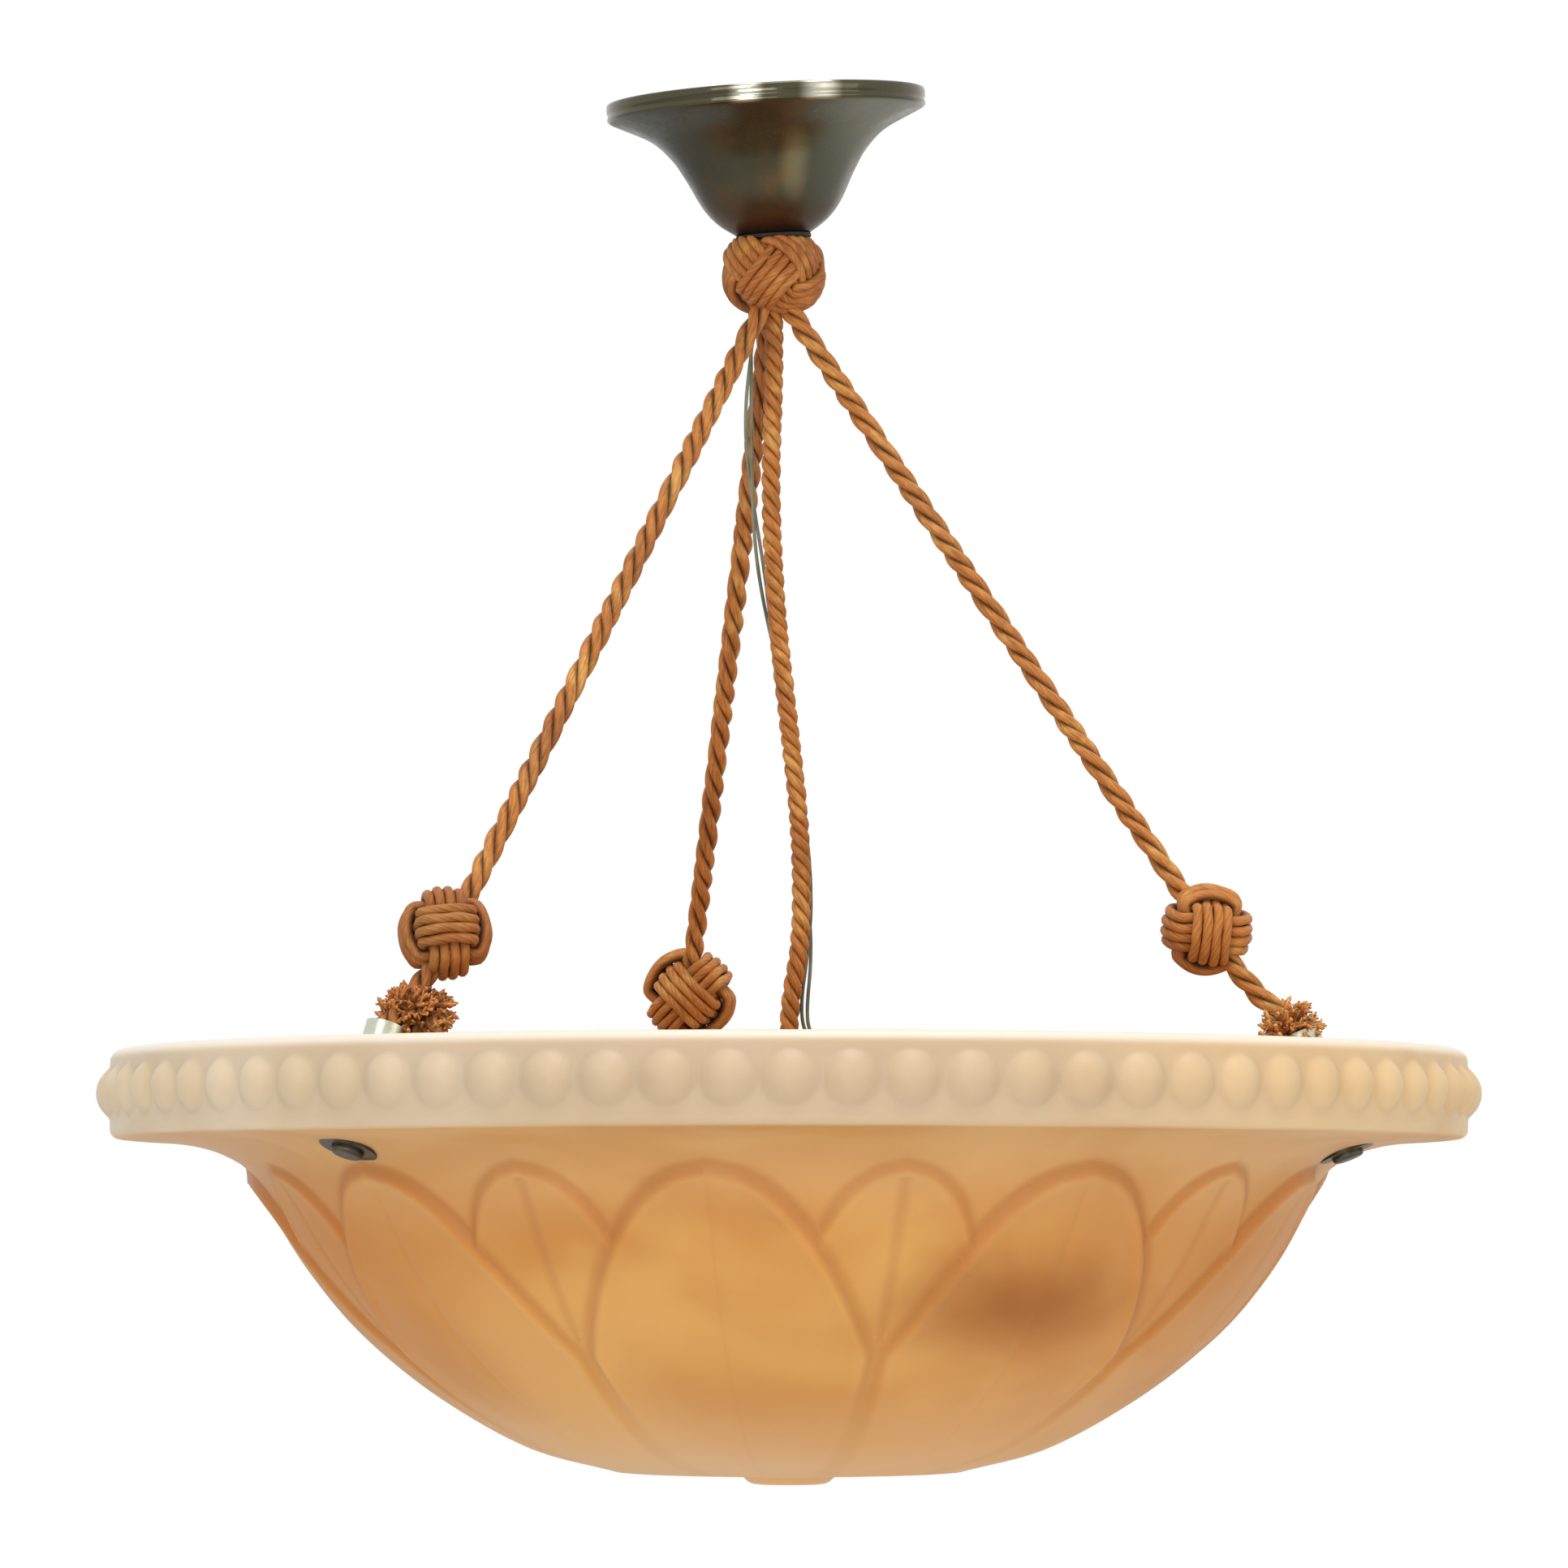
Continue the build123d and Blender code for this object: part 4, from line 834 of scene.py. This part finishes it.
LOW_EDGE_R, TOP_EDGE_R, INNER_EDGE_R = 0.0026, 0.0034, 0.002
band_line = [WALL[0], (0.1915, 0.02555)]
band_line += arc((BAND_R - LOW_EDGE_R, BAND_H + 0.0004 - LOW_EDGE_R), LOW_EDGE_R, -90, 0, 6)
band_line += [(BAND_R, d) for d in np.linspace(0.0218, 0.0040, 26)]
band_line += arc((BAND_R - TOP_EDGE_R, TOP_EDGE_R), TOP_EDGE_R, 0, 90, 8)
band_line += [(0.190, 0.0), (0.187, 0.0)]
band_line += arc((RIM_INNER_R + INNER_EDGE_R, INNER_EDGE_R), INNER_EDGE_R, 90, 180, 5)
band_line += [(RIM_INNER_R, 0.0055), (RIM_INNER_R, 0.009)]


def row_round(radius, angles, z):
    """A row of points round the Z axis."""
    return np.stack([radius * np.cos(angles), radius * np.sin(angles), z + 0 * angles], 1)


def edge_values(angles, front=NO_PETAL, behind=NO_PETAL, rib=NO_PETAL, inner_side=0.0):
    """A row's distances from the petals' edges and ribs, and 1 where it faces the hollow."""
    values = {"front_edge": front, "behind_edge": behind, "petal_rib": rib, "inner_side": inner_side}
    return {key: value + 0 * angles for key, value in values.items()}


def band_place(i, angles):
    radius, depth = band_line[i]
    across = BAND_R * angles
    ball = BEAD_R ** 2 - across ** 2 - (depth - BEAD_DEPTH) ** 2
    rise = np.where(ball > 0, np.sqrt(np.maximum(ball, 0)), 0) - (BEAD_R - BEAD_RISE)
    rise = BEAD_BLEND * np.logaddexp(0, rise / BEAD_BLEND)
    on_face = BAND_R - 0.001 < radius and 0.0032 <= depth <= 0.0218
    return row_round(radius + on_face * rise, angles, RIM_Z - depth)


band_sector = sector_mesh("band_sector", len(band_line), 12, BEADS, band_place,
                          lambda i, angles: edge_values(angles))
bowl_band = repeated(band_sector, BEADS, "bowl_band")

wall_line = flowing(WALL, 106)
wall_run = run_along(wall_line)
wall_ahead = unit(np.gradient(wall_line, axis=0))
wall_out = np.stack([wall_ahead[:, 1], -wall_ahead[:, 0]], 1)
FOOT = [(0.046, 0.1214), (0.038, 0.1217), (0.028, 0.1217), (0.018, 0.1216), (0.0145, 0.1215), (0.0139, 0.1219),
        (0.0134, 0.1225), (0.0118, 0.1240), (0.0104, 0.1246), (0.0085, 0.1248), (0.004, 0.1249), (0.0, 0.1249)]


def run_at(depth):
    return np.interp(depth, wall_line[:, 1], wall_run)


def outline(petal):
    """A petal's outline on the wall: half widths as turns, and run down the wall."""
    line = flowing(petal, 420)
    radius = np.interp(line[:, 1], wall_line[:, 1], wall_line[:, 0])
    turn = np.arcsin(np.clip(line[:, 0] / radius, -1, 1))
    return turn, run_at(line[:, 1])


def distance_inside(turns, run, radius, petal_outline):
    """How far inside a petal's outline each point of a row is, below zero outside."""
    edge_turn, edge_run = petal_outline
    step = np.abs(turns)[:, None] - edge_turn[None]
    gap = np.hypot(step * radius, run - edge_run[None]).min(1)
    half = np.interp(run, edge_run, edge_turn, left=0, right=edge_turn[-1])
    inside = (np.abs(turns) < half) & (run > edge_run[0])
    return np.where(inside, gap, -gap)


front_outline, back_outline = outline(FRONT_PETAL), outline(BACK_PETAL)


def petal_fields(i, angles):
    """Distances inside the front petal and the one behind it, and off each one's midrib."""
    radius, run = wall_line[i][0], wall_run[i]
    half_sector = math.pi / PETALS
    to_next = (half_sector - np.abs(angles)) * radius
    front = np.minimum(distance_inside(angles, run, radius, front_outline), to_next)
    behind = distance_inside(half_sector - np.abs(angles), run, radius, back_outline)
    return front, behind, np.abs(angles) * radius, to_next


def petal_body(inside, off_rib, height, shoulder, roll, roll_at, roll_width, rib_width, rib_end):
    """A petal's height off the wall: a shoulder, a slight roll just inside it and a sunk midrib."""
    body = height * smooth_share(inside, 0, shoulder)
    body += roll * np.exp(-((inside - roll_at) / roll_width) ** 2)
    return body - RIB_DEPTH * np.exp(-(off_rib / rib_width) ** 2) * smooth_share(inside, 0.004, rib_end)


RIB_DEPTH = 0.0004
FRONT_BODY = {"height": 0.0021, "shoulder": 0.0038, "roll": 0.0008, "roll_at": 0.0040, "roll_width": 0.0021,
              "rib_width": 0.0016, "rib_end": 0.014}
BACK_BODY = {"height": 0.0012, "shoulder": 0.0030, "roll": 0.0005, "roll_at": 0.0032, "roll_width": 0.0017,
             "rib_width": 0.0014, "rib_end": 0.012}


def petal_relief(i, angles):
    front, behind, rib_front, rib_behind = petal_fields(i, angles)
    depth = wall_line[i][1]
    fade = 1 - smooth_share(depth, 0.070, 0.1195)
    front_body = petal_body(front, rib_front, **FRONT_BODY)
    behind_body = np.where(behind > 0, petal_body(behind, rib_behind, **BACK_BODY), 0)
    ends = smooth_share(depth, 0.0300, 0.0330)
    return fade * ends * np.where(front > 0, np.maximum(front_body, behind_body), behind_body)


def wall_place(i, angles):
    if i < len(wall_line):
        rise = petal_relief(i, angles)
        radius = wall_line[i][0] + wall_out[i][0] * rise
        z = RIM_Z - wall_line[i][1] - wall_out[i][1] * rise
    else:
        radius, depth = FOOT[i - len(wall_line)]
        z = RIM_Z - depth
    return row_round(radius, angles + math.radians(PETAL_TURN - 90), z)


def wall_values(i, angles):
    if i >= len(wall_line):
        return edge_values(angles)
    front, behind, rib_front, rib_behind = petal_fields(i, angles)
    shown_rib = np.where((behind > 0.004) & (front < -0.001), rib_behind, NO_PETAL)
    rib = np.where(front > 0.003, rib_front + 0.002, shown_rib)
    return edge_values(angles, np.clip(front, -NO_PETAL, NO_PETAL), np.clip(behind, -NO_PETAL, NO_PETAL),
                       np.minimum(rib, NO_PETAL))


wall_sector = sector_mesh("wall_sector", len(wall_line) + len(FOOT), 96, PETALS, wall_place, wall_values,
                          coarse_from=len(wall_line) + 1, coarse=8)
bowl_wall = repeated(wall_sector, PETALS, "bowl_wall")
bowl_wall.data.flip_normals()  # its rows run down the outside, so the sector faces inwards

inside_line = [(RIM_INNER_R, 0.009), (0.1826, 0.0125), (0.1806, 0.0155), (0.1768, 0.0178)]
inside_line += [tuple(wall_line[i] - GLASS_WALL * wall_out[i]) for i in range(18, len(wall_line), 4)]
inside_line += [(0.040, 0.1131), (0.020, 0.1131), (0.0, 0.1131)]
inside_sector = sector_mesh("inside_sector", len(inside_line), 16, PETALS,
                            lambda i, angles: row_round(inside_line[i][0], angles, RIM_Z - inside_line[i][1]),
                            lambda i, angles: edge_values(angles, inner_side=1.0))
bowl_inside = repeated(inside_sector, PETALS, "bowl_inside")

for piece in (bowl_band, bowl_wall, bowl_inside):
    piece.data.transform(Matrix.Translation((BOWL_X, 0, 0)))
    settle(piece, "glass_bowl")

# Canopy: a small spun bell with a dark olive-bronze patina and a polished rolled
# lip, which turns on a black plastic bush and stands a little askew.


def build_wear_group():
    """Handled metal: blotchy tone, fine turning marks or scratches, and dulled patches."""
    tree, given, result = group_tree(
        "metal_wear", {"Base": WHITE, "Worn": WHITE, "Scale": 60.0, "Amount": 0.5, "Gloss": 0.3},
        ["Color", "Roughness", "Height"])
    blotch = noise(tree, given["Scale"], 5.0, Roughness=0.6)
    scratch = noise(tree, times(tree, given["Scale"], 14.0), 2.0)
    share = times(tree, remap(tree, blotch, 0.42, 0.68), given["Amount"])
    tone = blend_colour(tree, share, given["Base"], given["Worn"])
    dull = math_node(tree, "ADD", given["Gloss"], remap(tree, blotch, 0.35, 0.7, 0.0, 0.16))
    dull = math_node(tree, "ADD", dull, remap(tree, scratch, 0.4, 0.7, 0.0, 0.06))
    for key, value in (("Color", tone), ("Roughness", dull), ("Height", scratch)):
        tree.links.new(value, result[key])
    return tree


wear_group = build_wear_group()


def metal_finish(name, base, worn, scale, amount, gloss, metallic=1.0):
    made, tree, shader = new_finish(name)
    wear = put(tree, "ShaderNodeGroup", {"Base": base, "Worn": worn, "Scale": scale, "Amount": amount,
                                         "Gloss": gloss}, node_tree=wear_group).outputs
    join_finish(tree, shader, wear["Color"], wear["Roughness"], wear["Height"], 0.00003)
    set_values(shader, {"Metallic": metallic})
    return made


bronze = metal_finish("bronze_patina_with_painted_light", srgb(76, 75, 60), srgb(112, 84, 50), 48.0, 0.7, 0.26, metallic=0.8)
bell = bronze.node_tree
bell_shader = bell.nodes["Principled BSDF"]
patina_and_painted_light = bell_shader.inputs["Base Color"].links[0].from_socket
dulled = bell_shader.inputs["Roughness"].links[0].from_socket
bell_parts = separated(bell, object_place(bell))
# A painted highlight: a soft pale streak down the front of the bell
painted_highlight_streak = distance_from(bell, (0.0062, -0.027, -0.0125), (1.0, 0.45, 0.30))
# Painted shade darkens the patina to the left and painted light makes it greyer and paler
# to the right; it is also browner low down, and a painted highlight runs down the front as a
# pale streak. The polished lip is dark as a painted reflection of dark surroundings, and has
# two bright spots as painted reflections.
for share, colour in ((remap(bell, bell_parts["X"], -0.036, -0.002, 0.9, 0.0), srgb(46, 48, 38)),
                      (remap(bell, bell_parts["X"], 0.006, 0.034, 0.0, 0.9), srgb(130, 130, 116)),
                      (remap(bell, bell_parts["Z"], -0.0300, -0.0185, 0.75, 0.0), srgb(78, 50, 32)),
                      (remap(bell, painted_highlight_streak, 0.0004, 0.0060, 0.5, 0.0), srgb(156, 146, 108))):
    patina_and_painted_light = blend_colour(bell, share, patina_and_painted_light, colour)
# The lip's dark colour is a painted reflection of dark surroundings, and its two bright spots are painted
# reflections
lip_with_painted_reflections = srgb(80, 76, 58)
for middle, half_width in ((-0.0078, 0.0042), (0.0136, 0.0050)):
    spot = distance_from(bell, (middle, -0.0465, 0.004), (1.0, 0.4, 0.3))
    lip_with_painted_reflections = blend_colour(bell, remap(bell, spot, 0.2 * half_width, 1.4 * half_width, 0.85, 0.0), lip_with_painted_reflections,
                              srgb(206, 202, 184))
lip = remap(bell, attribute(bell, "bell_rise"), 0.0346, 0.0356)
bell.links.new(blend_colour(bell, lip, patina_and_painted_light, lip_with_painted_reflections), bell_shader.inputs["Base Color"])
bell.links.new(math_node(bell, "SUBTRACT", dulled, times(bell, lip, 0.2), clamp=True),
               bell_shader.inputs["Roughness"])
CANOPY_WALL, CANOPY_NECK_Z, CANOPY_SECTORS = 0.001, -0.0303, 144
CANOPY = [(0.0106, 0.0), (0.0162, 0.004), (0.0203, 0.009), (0.0247, 0.0174), (0.0286, 0.0236), (0.0346, 0.0294),
          (0.045, 0.0346)]
canopy_line = [(0.00905, 0.001), (0.00905, 0.0001), (0.0093, 0.0), (0.0102, 0.0)]
canopy_line += [tuple(p) for p in flowing(CANOPY, 44)]
canopy_line += [(0.0461, 0.03515), (0.0466, 0.0356), (0.04665, 0.0362), (0.0464, 0.0367), (0.0464, 0.0373),
                (0.0467, 0.0378), (0.0467, 0.0396), (0.0465, 0.0402), (0.0461, 0.0404), (0.0457, 0.0402),
                (0.0456, 0.0396), (0.0456, 0.0366)]
inner_line = flowing(CANOPY, 40)
inner_ahead = unit(np.gradient(inner_line, axis=0))
canopy_line += [(r - CANOPY_WALL * a[1], z + CANOPY_WALL * a[0])
                for (r, z), a in reversed(list(zip(inner_line, inner_ahead))) if r - CANOPY_WALL * a[1] > 0.0101]
canopy_line.append((0.00905, 0.001))
canopy_sector = sector_mesh("bell_sector", len(canopy_line), 1, CANOPY_SECTORS,
                            lambda i, angles: row_round(canopy_line[i][0], angles, canopy_line[i][1]),
                            lambda i, angles: {"bell_rise": canopy_line[i][1] + 0 * angles})
canopy_bell = repeated(canopy_sector, CANOPY_SECTORS, "canopy_bell", bronze, 0.000005)
shell = bmesh.new()
shell.from_mesh(canopy_bell.data)
bmesh.ops.remove_doubles(shell, verts=shell.verts, dist=1e-6)
bmesh.ops.recalc_face_normals(shell, faces=shell.faces)
shell.to_mesh(canopy_bell.data)
shell.free()
CANOPY_TIP, CANOPY_ROLL = math.radians(4.4), math.radians(-3.3)
lean = Matrix.Translation((0, 0, CANOPY_NECK_Z)) @ Matrix.Rotation(CANOPY_TIP, 4, "X")
canopy_bell.data.transform(lean @ Matrix.Rotation(CANOPY_ROLL, 4, "Y"))
settle(canopy_bell, "canopy", "canopy")

# Metal fittings: the hanging ring and its loop are polished steel, the small screws
# and nuts are zinc plated, the sockets are nickelled, and the bridge and lampholder
# are brass. The dark discs under the rim and their bolts are oxidised steel.


def dress(finish, *names):
    for name in names:
        mesh = nodes[name].data
        mesh.materials.clear()
        mesh.materials.append(finish)


dress(metal_finish("polished_steel", srgb(196, 198, 200), srgb(168, 170, 172), 90.0, 0.6, 0.14),
      "hanging_ring", "suspension_loop")
zinc = metal_finish("zinc_plate", srgb(172, 176, 180), srgb(150, 150, 140), 140.0, 0.7, 0.28)
dress(zinc, "rod_nut", "clamp_nuts", "terminal_screws")
dress(metal_finish("aged_nickel", srgb(204, 204, 186), srgb(170, 166, 132), 120.0, 0.7, 0.2),
      *("rope_socket_" + side for side in SIDE_TURN))
dress(metal_finish("oxidised_steel", srgb(74, 70, 60), srgb(112, 104, 86), 190.0, 0.8, 0.34),
      "outer_discs", *("hanger_bolt_" + side for side in SIDE_TURN))
brass = metal_finish("aged_brass", srgb(190, 152, 84), srgb(140, 104, 58), 70.0, 0.7, 0.26)
dress(brass, "bridge", "holder_cap", "cord_grip", "holder_nipple", "holder_shell", "screw_sleeve",
      "centre_contact")

# Insulating parts: rubber gaskets at the glass, a white plastic terminal block and
# grommet, a black plastic canopy bush, and the holder's glazed ceramic insert.


def moulded_finish(name, colour, shade, roughness, scale=220.0):
    made, tree, shader = new_finish(name)
    skin = noise(tree, scale, 3.0)
    join_finish(tree, shader, blend_colour(tree, remap(tree, skin, 0.4, 0.7), colour, shade),
                remap(tree, skin, 0.3, 0.7, roughness, roughness + 0.12), skin, 0.00005)
    return made


dress(moulded_finish("rubber", srgb(46, 44, 42), srgb(60, 57, 53), 0.72), "inner_gaskets", "outer_gaskets")
white_plastic = moulded_finish("white_plastic", srgb(232, 230, 222), srgb(220, 217, 206), 0.38)
dress(white_plastic, "terminal_block", "flex_grommet")
# The bush is near-black plastic; where it shows between the canopy and the top knot, its dark brown also stands
# in for the shadow there as painted shade
dress(moulded_finish("dark_plastic", srgb(30, 22, 16), srgb(42, 32, 24), 0.7), "canopy_bush", "bush_lock_ring")
dress(moulded_finish("glazed_ceramic", srgb(236, 233, 224), srgb(226, 221, 208), 0.22, 120.0), "holder_insert")

# Strain knot and leads: inside the holder cap the flex is tied in a small knot,
# and its two leads run down through the nipple to the contacts.
LEAD_R = 0.0006
STRAIN_KNOT_MIDDLE = np.array([0.0147, 0.0, -0.27394])
lead_strands = Strands(8)
for y in (-0.0009, 0.0009):
    lead_route = [(0.0130, y, -0.2744), (0.0081, y, -0.2738), (0.0054, y, -0.2782), (0.0054, y, -0.2848)]
    lead_line, _ = read_route(lead_route)
    lead_strands.add(lead_line, np.tile([0.0, -1.0, 0.0], (len(lead_line), 1)), LEAD_R)
leads = lead_strands.piece("holder_lead_wires", flex_cover)
settle(leads, "holder_leads")
strain_knot = Strands(8)
theta = 2 * math.pi * np.arange(48) / 48
for i, axes in enumerate(((np.cos(theta), np.sin(theta), 0 * theta), (0 * theta, np.cos(theta), np.sin(theta)))):
    wrap_band(strain_knot, STRAIN_KNOT_MIDDLE, np.eye(3), np.array([1.0, 1.0, 0.9]), 0.0021, np.stack(axes, 1),
              0.5 * smooth_share(np.abs(np.sin(theta)), 0.6, 0.9) * i, 2, LEAD_R, 3 + i)
strain_piece = strain_knot.piece("strain_knot_turns", flex_cover)
settle(strain_piece, "strain_knot")

# Bulb: a small clear round bulb with four lit-yellow filament sticks on a glass
# stem, and a rolled screw cap with a black glass insulator.
bulb_glass_finish, bulb_tree, bulb_shader = new_finish("clear_bulb_glass")
set_values(bulb_shader, {"Base Color": WHITE, "Transmission Weight": 1.0, "IOR": 1.1})
bulb_tree.links.new(remap(bulb_tree, noise(bulb_tree, 90.0, 2.0), 0.4, 0.7, 0.01, 0.06),
                    bulb_shader.inputs["Roughness"])
dress(bulb_glass_finish, "bulb_glass")

stem_finish, stem_tree, stem_shader = new_finish("stem_and_filaments")
stick = remap(stem_tree, distance_from(stem_tree, (BOWL_X, 0, 0), (1, 1, 0)), 0.0031, 0.0034)
stem_tree.links.new(blend_colour(stem_tree, stick, srgb(226, 228, 224), srgb(238, 186, 70)),
                    stem_shader.inputs["Base Color"])
stem_tree.links.new(remap(stem_tree, stick, 0, 1, 0.12, 0.55, smooth=False), stem_shader.inputs["Roughness"])
dress(stem_finish, "bulb_stem")
dress(metal_finish("bulb_cap_metal", srgb(206, 204, 196), srgb(176, 172, 160), 160.0, 0.5, 0.24),
      "bulb_cap", "bulb_tip_contact")
dress(moulded_finish("black_insulator", srgb(26, 24, 26), srgb(38, 34, 40), 0.16), "bulb_insulator")
